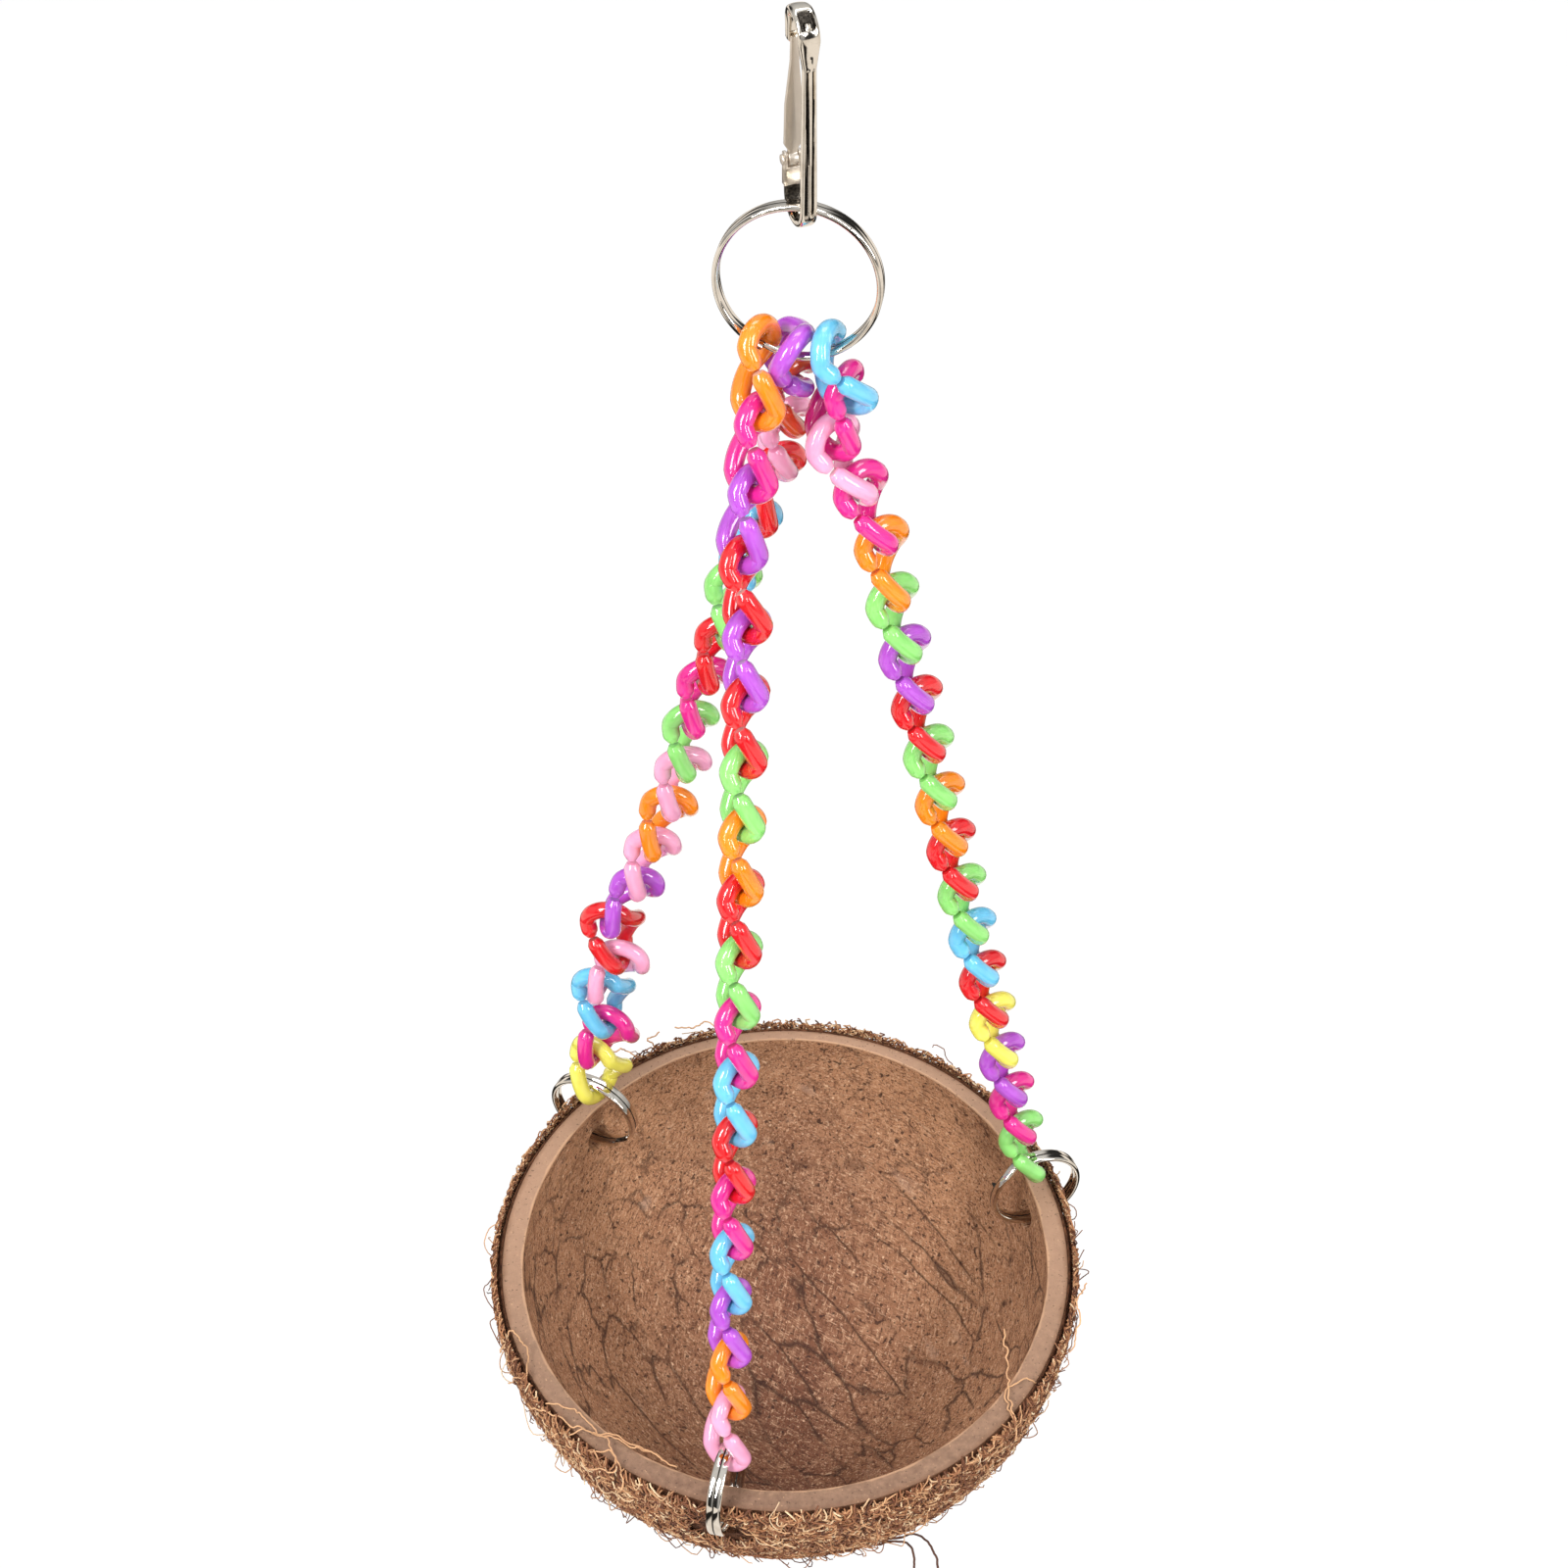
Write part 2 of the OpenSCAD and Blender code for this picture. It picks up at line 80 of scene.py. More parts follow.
# %% Set the camera
CAMERA_PLACE = (-2.5 * MM, -471.8 * MM, 299.3 * MM)
CAMERA_DOWN = 0.767  # in radians
CAMERA_LENS = 84.55  # in millimetres, for the sensor below
CAMERA_SENSOR = 36
lens = bpy.data.cameras.new("picture camera")
lens.lens = CAMERA_LENS
lens.sensor_width = CAMERA_SENSOR
lens.clip_start = 10 * MM
camera = bpy.data.objects.new("picture camera", lens)
camera.location = CAMERA_PLACE
camera.rotation_euler = (math.pi / 2 - CAMERA_DOWN, 0, 0)
bpy.context.scene.collection.objects.link(camera)
bpy.context.scene.camera = camera
bpy.context.scene.view_settings.view_transform = "Standard"
print("camera looks down by", round(math.degrees(CAMERA_DOWN)), "degrees")

# %% [markdown]
# ## Two helpers for materials
# Colours are picked from a screen, so they are written as the hex values that a screen
# shows. Blender counts light, so one function turns screen values to light. Another adds a node,
# sets it and links it, which keeps each material short enough to read in one go.


# %% Colour and node helpers
def light(code):
    """The light that a screen colour such as #8A5F42 stands for."""
    parts = [int(code[i : i + 2], 16) / 255 for i in (1, 3, 5)]
    return [c / 12.92 if c <= 0.04045 else ((c + 0.055) / 1.055) ** 2.4 for c in parts] + [1]


def add(tree, kind, inputs=None, **settings):
    """Adds a node. An input is linked where its value is another node's output."""
    node = tree.nodes.new(kind)
    for name, value in settings.items():
        setattr(node, name, value)
    for key, value in (inputs or {}).items():
        if isinstance(value, bpy.types.NodeSocket):
            tree.links.new(value, node.inputs[key])
        else:
            node.inputs[key].default_value = value
    return node


# %% [markdown]
# Patterns need a real size. Object coordinates are in metres, so they are turned to millimetres
# once, and a noise whose grain is 2 mm then has a scale of 1/2. The blocks below are the few
# sums and patterns that the finishes of this swing are put together from.


# %% Sums in a node tree
def calc(tree, one, other=0.0, how="MULTIPLY"):
    """A sum on two numbers. They are multiplied unless how says otherwise."""
    return add(tree, "ShaderNodeMath", {0: one, 1: other}, operation=how).outputs[0]


def calc_place(tree, one, other, how="ADD"):
    """A sum on two places or directions. With SCALE the second is a number."""
    second = "Scale" if how == "SCALE" else 1
    return add(tree, "ShaderNodeVectorMath", {0: one, second: other}, operation=how).outputs[0]


# %% Pattern helpers
def new_finish(name):
    """A material with its tree, its shader and object coordinates in millimetres."""
    material = bpy.data.materials.new(name)
    material.use_nodes = True
    tree = material.node_tree
    shader = tree.nodes["Principled BSDF"]
    place = add(tree, "ShaderNodeTexCoord").outputs["Object"]
    return material, tree, shader, calc_place(tree, place, 1 / MM, "SCALE")


def grain(tree, place, size, detail, roughness=0.55, distortion=0.0):
    """Noise whose lumps are about size millimetres."""
    inputs = {"Vector": place, "Scale": 1 / size, "Detail": detail, "Roughness": roughness}
    return add(tree, "ShaderNodeTexNoise", {**inputs, "Distortion": distortion}).outputs[0]


def ramp(tree, value, low, high, to_low=0.0, to_high=1.0):
    """Values from low to high are spread over to_low to to_high."""
    inputs = {0: value, 1: low, 2: high, 3: to_low, 4: to_high}
    return add(tree, "ShaderNodeMapRange", inputs, clamp=True).outputs[0]


def blend(tree, factor, one, other):
    """A mix of two colours. A factor of 0 gives the first and 1 the other."""
    inputs = {0: factor, 6: one, 7: other}
    return add(tree, "ShaderNodeMix", inputs, data_type="RGBA").outputs[2]


def layer(tree, tone, pattern, low, high, strength, code):
    """A colour over the tone, from none where the pattern is low to its strength where high."""
    return blend(tree, ramp(tree, pattern, low, high, 0, strength), tone, light(code))


def dent(tree, shader, height, depth, strength):
    """A bump whose full height is depth millimetres."""
    bump = add(tree, "ShaderNodeBump", {"Height": height, "Strength": strength})
    bump.inputs["Distance"].default_value = depth * MM
    tree.links.new(bump.outputs["Normal"], shader.inputs["Normal"])


# %% [markdown]
# ## Nickel plate
# The hook and the rings are steel with a bright nickel plate. Nickel is a little yellower
# than chrome. A tumbled part isn't a mirror: the plate follows the waviness of the steel under
# it, so highlights break up, and small rubs make patches that are less bright. The gate's
# strip is duller than the hook, and the inside of the eye is as rough as it left the mould.
# The same dark rough plate is painted shade on the faces where the two turns of a ring meet.

# %% Nickel plate
RUBBED = (0.42, 0.68)  # a rub fades in between these values of the noise


def nickel_plate(name, colour, rough, worn, grain_size, depth):
    """Plate with rubbed patches, whose roughness goes from the first value to the second."""
    material, tree, shader, place = new_finish(name)
    patches = ramp(tree, grain(tree, place, grain_size, 4), *RUBBED)
    tone = blend(tree, patches, light(colour), light(worn))
    tree.links.new(tone, shader.inputs["Base Color"])
    shader.inputs["Metallic"].default_value = 1.0
    tree.links.new(ramp(tree, patches, 0, 1, *rough), shader.inputs["Roughness"])
    dent(tree, shader, grain(tree, place, grain_size * 0.7, 2), depth, 0.5)
    return material


nickel = nickel_plate(
    "bright nickel plate on steel", "#EBE4D8", (0.06, 0.16), "#D8CFC1", 2.5, 0.025
)
gate_steel = nickel_plate(
    "nickel plate on sheet steel", "#EBE2D6", (0.28, 0.38), "#E0D6C9", 12.0, 0.004
)
wire_nickel = nickel_plate(
    "bright nickel plate on spring wire", "#EEE8DE", (0.03, 0.09), "#D9D1C5", 3.0, 0.006
)
# Painted shade: this dark rough plate also darkens the faces where the two turns of each ring meet.
rough_cast_and_painted_shade = nickel_plate(
    "rough nickel plate and painted shade", "#4B4640", (0.35, 0.6), "#171513", 0.5, 0.12
)
print("nickel finishes:", ", ".join(m.name for m in (nickel, gate_steel, wire_nickel, rough_cast_and_painted_shade)))

# %% [markdown]
# ## Glossy plastic
# The links are moulded polystyrene, dyed in the mass. Light goes a few millimetres into it and
# comes out again, which lifts the shaded sides, so the shader has some subsurface light.
# A mould leaves a smooth skin with slow waves, and these stretch the highlights.

# %% Link plastics
LINK_COLOURS = {
    "orange": "#F98A14",
    "deep orange": "#E4521E",
    "magenta": "#E4288F",
    "pink": "#F4A6C8",
    "purple": "#B552CC",
    "red": "#DE1A22",
    "green": "#8FDB74",
    "blue": "#6CC3EA",
    "yellow": "#F2EA62",
}
PLASTIC_IOR = 1.55
LIGHT_DEPTH = 1.6 * MM
WAVE_SIZE = 5.0  # of the mould's skin, in millimetres
DEEPER = 0.8  # how much light a deeper patch of the dye sends back
plastics = {}
for colour, code in LINK_COLOURS.items():
    plastic, tree, shader, place = new_finish(f"moulded polystyrene, {colour}")
    slow = ramp(tree, grain(tree, place, WAVE_SIZE, 2), 0.3, 0.7)
    deep = [c * DEEPER for c in light(code)[:3]] + [1]
    tree.links.new(blend(tree, slow, deep, light(code)), shader.inputs["Base Color"])
    shader.inputs["IOR"].default_value = PLASTIC_IOR
    shader.inputs["Subsurface Weight"].default_value = 0.18
    shader.inputs["Subsurface Scale"].default_value = LIGHT_DEPTH
    shader.inputs["Subsurface Radius"].default_value = [0.4 + c for c in light(code)[:3]]
    shader.inputs["Coat Weight"].default_value = 0.8
    shader.inputs["Coat Roughness"].default_value = 0.02
    tree.links.new(ramp(tree, slow, 0, 1, 0.12, 0.2), shader.inputs["Roughness"])
    dent(tree, shader, grain(tree, place, WAVE_SIZE, 1.0), 0.06, 0.5)
    plastics[colour] = plastic
print(len(plastics), "plastics")

# %% [markdown]
# ## Geometry Nodes in a script
# A link is a round bar bent along a line, and a chain repeats it 18 times. That is a rule, so
# the bar is made by a node tree with named inputs. Every tree of this notebook ends by carrying
# a section along a line. So the helpers make a tree with its inputs, end it in that way, and
# run it on an object and take the result as a plain mesh.


# %% Node tree helpers
def new_tree(name, sockets):
    """A geometry tree with a geometry input, more inputs by name, and a geometry output."""
    tree = bpy.data.node_groups.new(name, "GeometryNodeTree")
    tree.is_modifier = True
    kinds = {"Geometry": "NodeSocketGeometry", **sockets}
    for socket, kind in kinds.items():
        tree.interface.new_socket(socket, in_out="INPUT", socket_type=kind)
    tree.interface.new_socket("Geometry", in_out="OUTPUT", socket_type="NodeSocketGeometry")
    return tree, tree.nodes.new("NodeGroupInput").outputs


def circle(tree, sides, radius):
    """A round section."""
    inputs = {"Resolution": sides, "Radius": radius}
    return add(tree, "GeometryNodeCurvePrimitiveCircle", inputs).outputs[0]


def end_tree(tree, line, section, material, **more):
    """Every tree ends alike: the section goes along the line and gets its material."""
    inputs = {0: line, 1: section, "Fill Caps": True, **more}
    swept = add(tree, "GeometryNodeCurveToMesh", inputs).outputs[0]
    smooth = add(tree, "GeometryNodeSetShadeSmooth", {0: swept}).outputs[0]
    real = add(tree, "GeometryNodeRealizeInstances", {0: smooth}).outputs[0]
    dressed = add(tree, "GeometryNodeSetMaterial", {0: real, "Material": material}).outputs[0]
    add(tree, "NodeGroupOutput", {0: dressed})


def finished_mesh(source):
    """The mesh of an object with its modifiers worked in."""
    seen = source.evaluated_get(bpy.context.evaluated_depsgraph_get())
    return bpy.data.meshes.new_from_object(seen)


def run_tree(tree, source, name, **values):
    """Runs the tree on an object and returns the result as a plain mesh."""
    modifier = source.modifiers.new(tree.name, "NODES")
    modifier.node_group = tree
    for item in tree.interface.items_tree:
        value = values.get(item.name.replace(" ", "_").lower())
        if item.in_out == "INPUT" and value is not None:
            modifier[item.identifier] = value
    mesh = finished_mesh(source)
    mesh.name = name
    source.modifiers.remove(modifier)
    return mesh


def collect(name, data):
    """A mesh or a lamp becomes an object of the scene."""
    piece = bpy.data.objects.new(name, data)
    bpy.context.scene.collection.objects.link(piece)
    return piece


def line_object(name, points):
    """A plain line through the points, for a tree to work on."""
    mesh = bpy.data.meshes.new(name)
    mesh.from_pydata(points, [(i, i + 1) for i in range(len(points) - 1)], [])
    return collect(name, mesh)


# %% [markdown]
# ## The link
# The link is a rounded triangle: a straight bar with the slit in it, two tight end bends, and two
# arms that meet at a blunt corner. It is twisted along its length like a curb chain's link, which
# lets the chain lie flat. The line below is flat, and the tree twists it and gives it its bar.
# The solid's bends are short straights, and a true arc through their ends would stand out past
# them. So the fine line's bends are a little smaller, and links stay as clear of each other.

# %% The line of a link
LINK_LENGTH = 20.25 * MM
LINK_WIDTH = 13.6 * MM
BAR_R = 1.75 * MM
BEND_R = 2.4 * MM + BAR_R
CORNER_R = 2.4 * MM
SLIT = 0.7 * MM
SLIT_UP = 1.8 * MM
LINK_TWIST = math.radians(41)
TWIST_SHARE = 0.64
LINK_HALF = LINK_LENGTH / 2 - BAR_R
FINE_SHARE = 0.95  # how large the fine line's bends are beside the solid's
LINE_STEP = 0.45 * MM


def link_line(bend_steps, corner_steps, share=1.0):
    """The middle of the bar in X and Z: up from the slit, round and back under it."""
    bend_z = LINK_HALF - BEND_R
    corner_x = LINK_WIDTH - BEND_R - 2 * BAR_R - CORNER_R
    bend_r, corner_r = BEND_R * share, CORNER_R * share
    reach = math.hypot(corner_x, bend_z)
    arm = math.atan2(bend_z, -corner_x) - math.acos((corner_r - bend_r) / reach)
    top = [math.pi - i * (math.pi - arm) / bend_steps for i in range(bend_steps + 1)]
    corner = [arm - i * 2 * arm / corner_steps for i in range(corner_steps + 1)]
    line = [(-bend_r, SLIT_UP + SLIT / 2)]
    line += [(bend_r * math.cos(a), bend_z + bend_r * math.sin(a)) for a in top]
    line += [(corner_x + corner_r * math.cos(a), corner_r * math.sin(a)) for a in corner]
    line += [(bend_r * math.cos(a), -bend_z - bend_r * math.sin(a)) for a in reversed(top)]
    return line + [(-bend_r, SLIT_UP - SLIT / 2)]


def spread(points, step):
    """The same line with points no further apart than step."""
    out = [points[0]]
    for a, b in zip(points, points[1:]):
        parts = max(1, math.ceil(math.dist(a, b) / step))
        out += [tuple(p + (q - p) * i / parts for p, q in zip(a, b)) for i in range(1, parts + 1)]
    return out


fine_line = spread(link_line(22, 14, FINE_SHARE), LINE_STEP)
flat_link = line_object("flat link line", [(x, 0, z) for x, z in fine_line])
print("a link's line has", len(fine_line), "points")

# %% [markdown]
# The tree turns each point about the link's length by an angle that grows with its height and stops
# near the end bends. Then a circle is carried along the line. The bar is drawn in over its
# last millimetre, so that the two ends at the slit pinch where they meet. It is a little
# thinner than the solid's eight-sided bar, for the same reason as the bends are smaller.

# %% The link tree
FINE_BAR_R = 1.62 * MM
LINK_SIDES = 18
PINCH_LENGTH = 1.1 * MM
PINCH_TO = 0.6
SHARP_ANGLE = math.radians(50)
sockets = {
    "Bar Radius": "NodeSocketFloat",
    "Twist": "NodeSocketFloat",
    "Twist Height": "NodeSocketFloat",
    "Chamfer": "NodeSocketFloat",
    "Sides": "NodeSocketInt",
    "Material": "NodeSocketMaterial",
}
tree, given = new_tree("bar bent to a link", sockets)
here = add(tree, "GeometryNodeInputPosition").outputs[0]
height = add(tree, "ShaderNodeSeparateXYZ", {0: here}).outputs["Z"]
share = calc(tree, height, given["Twist Height"], "DIVIDE")
share = add(tree, "ShaderNodeClamp", {"Value": share, "Min": -1.0, "Max": 1.0}).outputs[0]
angle = calc(tree, calc(tree, share, given["Twist"]), -1.0)
turn = {"Vector": here, "Angle": angle}
turn = add(tree, "ShaderNodeVectorRotate", turn, rotation_type="Z_AXIS").outputs[0]
moved = {0: given["Geometry"], "Position": turn}
moved = add(tree, "GeometryNodeSetPosition", moved).outputs[0]
bar = add(tree, "GeometryNodeMeshToCurve", {0: moved}).outputs[0]
along = add(tree, "GeometryNodeSplineParameter").outputs["Length"]
total = add(tree, "GeometryNodeSplineLength").outputs["Length"]
from_end = calc(tree, along, calc(tree, total, along, "SUBTRACT"), "MINIMUM")
drawn = ramp(tree, from_end, 0.0, given["Chamfer"], PINCH_TO, 1.0)
section = circle(tree, given["Sides"], given["Bar Radius"])
end_tree(tree, bar, section, given["Material"], Scale=drawn)
link_mesh = run_tree(
    tree,
    flat_link,
    "link",
    bar_radius=FINE_BAR_R,
    twist=LINK_TWIST,
    twist_height=TWIST_SHARE * LINK_HALF,
    chamfer=PINCH_LENGTH,
    sides=LINK_SIDES,
    material=plastics["orange"],
)
link_mesh.set_sharp_from_angle(angle=SHARP_ANGLE)
bpy.data.objects.remove(flat_link)
print("one link has", len(link_mesh.polygons), "faces")

# %% [markdown]
# ## Where each link is
# Every solid link has the same shape, so its place and turn can be read back from its mesh: its
# centre and the directions in which it is longest and thinnest. The same sums on a copy made
# here, in the link's own coordinates, give the frame to start from. Direction signs come from
# the lopsidedness of the shape.


# %% Read a link's place from its solid
SOLID_BENDS, SOLID_SIDES = (4, 2), 8


def coarse_link():
    """The solid's own shape: eight corners round each point of a coarse line."""
    line = link_line(*SOLID_BENDS)
    height = TWIST_SHARE * LINK_HALF
    turns = [-LINK_TWIST * max(-1, min(1, z / height)) for _, z in line]
    middles = [Matrix.Rotation(a, 3, "Z") @ Vector((x, 0, z)) for (x, z), a in zip(line, turns)]
    rings = []
    for i, (middle, turn) in enumerate(zip(middles, turns)):
        way = (middles[min(i + 1, len(line) - 1)] - middles[max(i - 1, 0)]).normalized()
        side = Matrix.Rotation(turn, 3, "Z") @ Vector((0, 1, 0))
        side = (side - side.dot(way) * way).normalized()
        up = way.cross(side)
        for j in range(SOLID_SIDES):
            a = 2 * math.pi * (j + 0.5) / SOLID_SIDES
            rings.append(middle + BAR_R * (math.cos(a) * side + math.sin(a) * up))
    faces = []
    for i in range(len(line) - 1):
        first, following = i * SOLID_SIDES, (i + 1) * SOLID_SIDES
        for j in range(SOLID_SIDES):
            k = (j + 1) % SOLID_SIDES
            faces.append((first + j, following + j, first + k))
            faces.append((first + k, following + j, following + k))
    last = len(rings) - SOLID_SIDES
    for j in range(1, SOLID_SIDES - 1):
        faces += [(0, j, j + 1), (last, last + j + 1, last + j)]
    return np.array(rings), np.array(faces)


def shape_frame(points, faces):
    """Centre and axes of a surface, from sums over its area."""
    a, b, c = (points[faces[:, i]] for i in range(3))
    area = np.linalg.norm(np.cross(b - a, c - a), axis=1)
    samples = np.concatenate([(a + b) / 2, (b + c) / 2, (c + a) / 2])
    weight = np.tile(area, 3) / area.sum() / 3
    centre = weight @ samples
    spread_out = samples - centre
    _, axes = np.linalg.eigh((spread_out * weight[:, None]).T @ spread_out)
    for i in (0, 2):
        if weight @ (spread_out @ axes[:, i]) ** 3 < 0:
            axes[:, i] *= -1
    axes[:, 1] = np.cross(axes[:, 2], axes[:, 0])
    return centre, axes


def islands(mesh):
    """Points and faces of each separate solid of a node, the highest first."""
    points = np.array([v.co for v in mesh.vertices])
    faces = np.array([p.vertices for p in mesh.polygons])
    _, same = np.unique(np.round(points / MM, 4), axis=0, return_inverse=True)
    faces = same.reshape(-1)[faces]
    spots = np.zeros((same.max() + 1, 3))
    spots[same.reshape(-1)] = points
    group = np.arange(len(spots))
    while True:
        low = group[faces].min(axis=1)
        before = group.copy()
        for i in range(3):
            np.minimum.at(group, faces[:, i], low)
        if (group == before).all():
            break
    parts = [faces[group[faces[:, 0]] == g] for g in np.unique(group[faces[:, 0]])]
    return sorted(((spots, f) for f in parts), key=lambda part: -spots[part[1]][:, :, 2].mean())


own_centre, own_axes = shape_frame(*coarse_link())
print("a link's own centre:", np.round(own_centre / MM, 2), "mm")


def link_place(points, faces):
    """The matrix that carries a link from its own coordinates to its place."""
    centre, axes = shape_frame(points, faces)
    turn = axes @ own_axes.T
    shift = centre - turn @ own_centre
    return Matrix.Translation(Vector(shift)) @ Matrix(turn.tolist()).to_4x4()


# %% [markdown]
# ## Three chains
# Each link is a piece of its own that moves with its own body. The colours of each chain are
# listed from the top down, and a link's body comes from the record. The two middle links of a
# chain are one node with two solids, so they stay one piece with two finishes.

# %% Make the chains
CHAIN_COLOURS = {
    "front": "orange magenta purple red purple red green orange red "
    "green magenta blue red magenta blue purple orange pink",
    "right": "blue magenta pink magenta orange green purple red green "
    "orange red green blue red yellow purple magenta green",
    "left": "purple deep_orange pink red blue green red magenta green "
    "pink orange pink purple red pink blue magenta yellow",
}


def mesh_from(work, name):
    """A bmesh becomes a mesh."""
    mesh = bpy.data.meshes.new(name)
    work.to_mesh(mesh)
    work.free()
    return mesh


def placed_copies(name, mesh, places, materials):
    """One mesh of a shape copied to each place, each copy with its own material."""
    whole = bmesh.new()
    for i, place in enumerate(places):
        first, first_face = len(whole.verts), len(whole.faces)
        whole.from_mesh(mesh)
        whole.verts.ensure_lookup_table()
        whole.faces.ensure_lookup_table()
        bmesh.ops.transform(whole, matrix=place, verts=whole.verts[first:])
        for face in whole.faces[first_face:]:
            face.material_index = i
    made = mesh_from(whole, name)
    for material in materials:
        made.materials.append(material)
    return collect(name, made)


bodies = frame["record"]["behaviour"]["bodies"]
body_of = {node: body for body, nodes in bodies.items() for node in nodes}
link_nodes = sorted(n for n in frame["nodes"] if "_link" in n)
for node in link_nodes:
    chain, number = node.split("_")[0], int(node.split("_")[2])
    colours = CHAIN_COLOURS[chain].split()
    solids = islands(frame["nodes"][node].data)
    places = [link_place(*solid) for solid in solids]
    dyes = [plastics[colours[number - 1 + i].replace("_", " ")] for i in range(len(solids))]
    link = placed_copies(f"{node}_plastic", link_mesh, places, dyes)
    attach(link, body_of[node])
    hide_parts(node)
print(len(link_nodes), "pieces of chain")

# %% [markdown]
# ## Split rings
# A split ring is two turns of flat spring wire that lie against each other, and near its ends
# the wire steps from one turn to the other. The path is a spiral whose height changes only in
# that step, so a tree can make it from a plain line: each point's share of the line sets its
# angle and its side. A bar with rounded corners is then carried along it.

# %% The ring tree
RING_WIRE_W = 1.8 * MM
RING_TURN_T = 1.05 * MM
TURN_GAP = 0.1 * MM
TURN_Y = (RING_TURN_T + TURN_GAP) / 2
STEP_SHARE = 0.09  # of a turn, for the step from one side to the other
END_SHARE = 0.05  # of a turn, left out at each end
RING_POINTS = 240
sockets = {
    "Radius": "NodeSocketFloat",
    "Half Gap": "NodeSocketFloat",
    "Wire Width": "NodeSocketFloat",
    "Wire Thickness": "NodeSocketFloat",
    "Corner": "NodeSocketFloat",
    "Start": "NodeSocketFloat",
    "Material": "NodeSocketMaterial",
}
tree, given = new_tree("split ring", sockets)
index = add(tree, "GeometryNodeInputIndex").outputs[0]
turns = ramp(tree, index, 0.0, float(RING_POINTS - 1), END_SHARE, 2 - STEP_SHARE)
angle = calc(tree, calc(tree, turns, 2 * math.pi), given["Start"], "ADD")
side = {0: turns, 1: 1 - STEP_SHARE, 2: 1.0, 3: -1.0, 4: 1.0}
side = add(tree, "ShaderNodeMapRange", side, interpolation_type="SMOOTHSTEP").outputs[0]
spot = {
    "X": calc(tree, calc(tree, angle, how="COSINE"), given["Radius"]),
    "Y": calc(tree, calc(tree, angle, how="SINE"), given["Radius"]),
    "Z": calc(tree, side, given["Half Gap"]),
}
spot = add(tree, "ShaderNodeCombineXYZ", spot).outputs[0]
spiral = add(tree, "GeometryNodeSetPosition", {0: given["Geometry"], "Position": spot}).outputs[0]
spiral = add(tree, "GeometryNodeMeshToCurve", {0: spiral}).outputs[0]
spiral = add(tree, "GeometryNodeSetCurveNormal", {0: spiral}, mode="Z_UP").outputs[0]
flat = {"Width": given["Wire Thickness"], "Height": given["Wire Width"]}
flat = add(tree, "GeometryNodeCurvePrimitiveQuadrilateral", flat, mode="RECTANGLE").outputs[0]
rounded = {0: flat, "Count": 4, "Radius": given["Corner"], "Limit Radius": True}
rounded = add(tree, "GeometryNodeFilletCurve", rounded, mode="POLY").outputs[0]
end_tree(tree, spiral, rounded, given["Material"])
ring_tree = tree
ring_line = line_object("ring line", [(i * MM, 0, 0) for i in range(RING_POINTS)])
print("a ring's line has", RING_POINTS, "points")

# %% [markdown]
# Two small functions help wherever a size changes along a path: one reads a table of places and
# sizes, the other rises smoothly from nought to one.


# %% Sizes along a path
def between(value, points):
    """A value read from a small table of places and sizes."""
    return float(np.interp(value, [a for a, _ in points], [b for _, b in points]))


def step_up(value, low, high):
    """0 below low and 1 above high, with a smooth rise."""
    share = min(1, max(0, (value - low) / (high - low)))
    return share * share * (3 - 2 * share)


# %% [markdown]
# The model's joints say where the rings are: each small ring turns about its own axis, and the
# bowl swings about the axis of the top ring. The chain's line, which is the axis of its twist,
# gives the way up for the small rings. The inner edges of the two turns, where they face each
# other, get the dark rough plate as painted shade between the turns.

# %% Place the rings
joints = {j["name"]: j for j in frame["joints"]}
TOP_RING_R = 13.1 * MM
SMALL_RING_R = 9.1 * MM
CORNER_SHARE = 0.46  # of the wire's thickness
PAINTED_SHADE_REACH = 0.17 * MM  # how far the painted shade between the turns reaches into each
OFF_THE_STEP = 0.98  # a turn lies flat at its side from here on
# For each ring: the joint that shows its axis, its radius and where its wire starts, in degrees.
RINGS = {
    "top_split_ring": ("bowl_swing", TOP_RING_R, -82),
    "front_split_ring": ("front_ring_turn", SMALL_RING_R, 150),
    "right_split_ring": ("right_ring_turn", SMALL_RING_R, 130),
    "left_split_ring": ("left_ring_turn", SMALL_RING_R, 205),
}
for node, (joint, radius, start) in RINGS.items():
    chain = node.split("_")[0]
    up = Vector((0, 0, 1)) if chain == "top" else Vector(joints[f"{chain}_chain_twist"]["axis"])
    axis = Vector(joints[joint]["axis"]).normalized()
    up = (up - up.dot(axis) * axis).normalized()
    out = axis.cross(up)
    turn = Matrix((out, up, -axis)).transposed().to_4x4()
    mesh = run_tree(
        ring_tree,
        ring_line,
        node,
        radius=radius,
        half_gap=TURN_Y,
        wire_width=RING_WIRE_W,
        wire_thickness=RING_TURN_T,
        corner=RING_TURN_T * CORNER_SHARE,
        start=math.radians(start),
        material=wire_nickel,
    )
    mesh.materials.append(rough_cast_and_painted_shade)
    across = (len(mesh.polygons) - 2) // (RING_POINTS - 1)
    for face in mesh.polygons[:-2]:
        way = (face.index // across + 0.5) / (RING_POINTS - 1)
        turn_at = END_SHARE + (2 - STEP_SHARE - END_SHARE) * way
        side = 2 * step_up(turn_at, 1 - STEP_SHARE, 1) - 1
        inward = TURN_Y - face.center.z * side
        # Painted shade: faces on the inner side of each turn, where the turns meet, get the dark plate.
        if abs(side) > OFF_THE_STEP and inward > RING_TURN_T / 2 - PAINTED_SHADE_REACH:
            face.material_index = 1
    mesh.set_sharp_from_angle(angle=SHARP_ANGLE)
    mesh.transform(Matrix.Translation(Vector(joints[joint]["pos_m"])) @ turn)
    ring = collect(f"{node}_wire", mesh)
    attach(ring, body_of[node])
    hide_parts(node)
    low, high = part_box(node)
    made = np.array([v.co for v in mesh.vertices])
    off = np.abs([made.min(0) - np.array(low), made.max(0) - np.array(high)]).max()
    print(node, len(mesh.polygons), "faces, box off by", round(off / MM, 2), "mm")
bpy.data.objects.remove(ring_line)

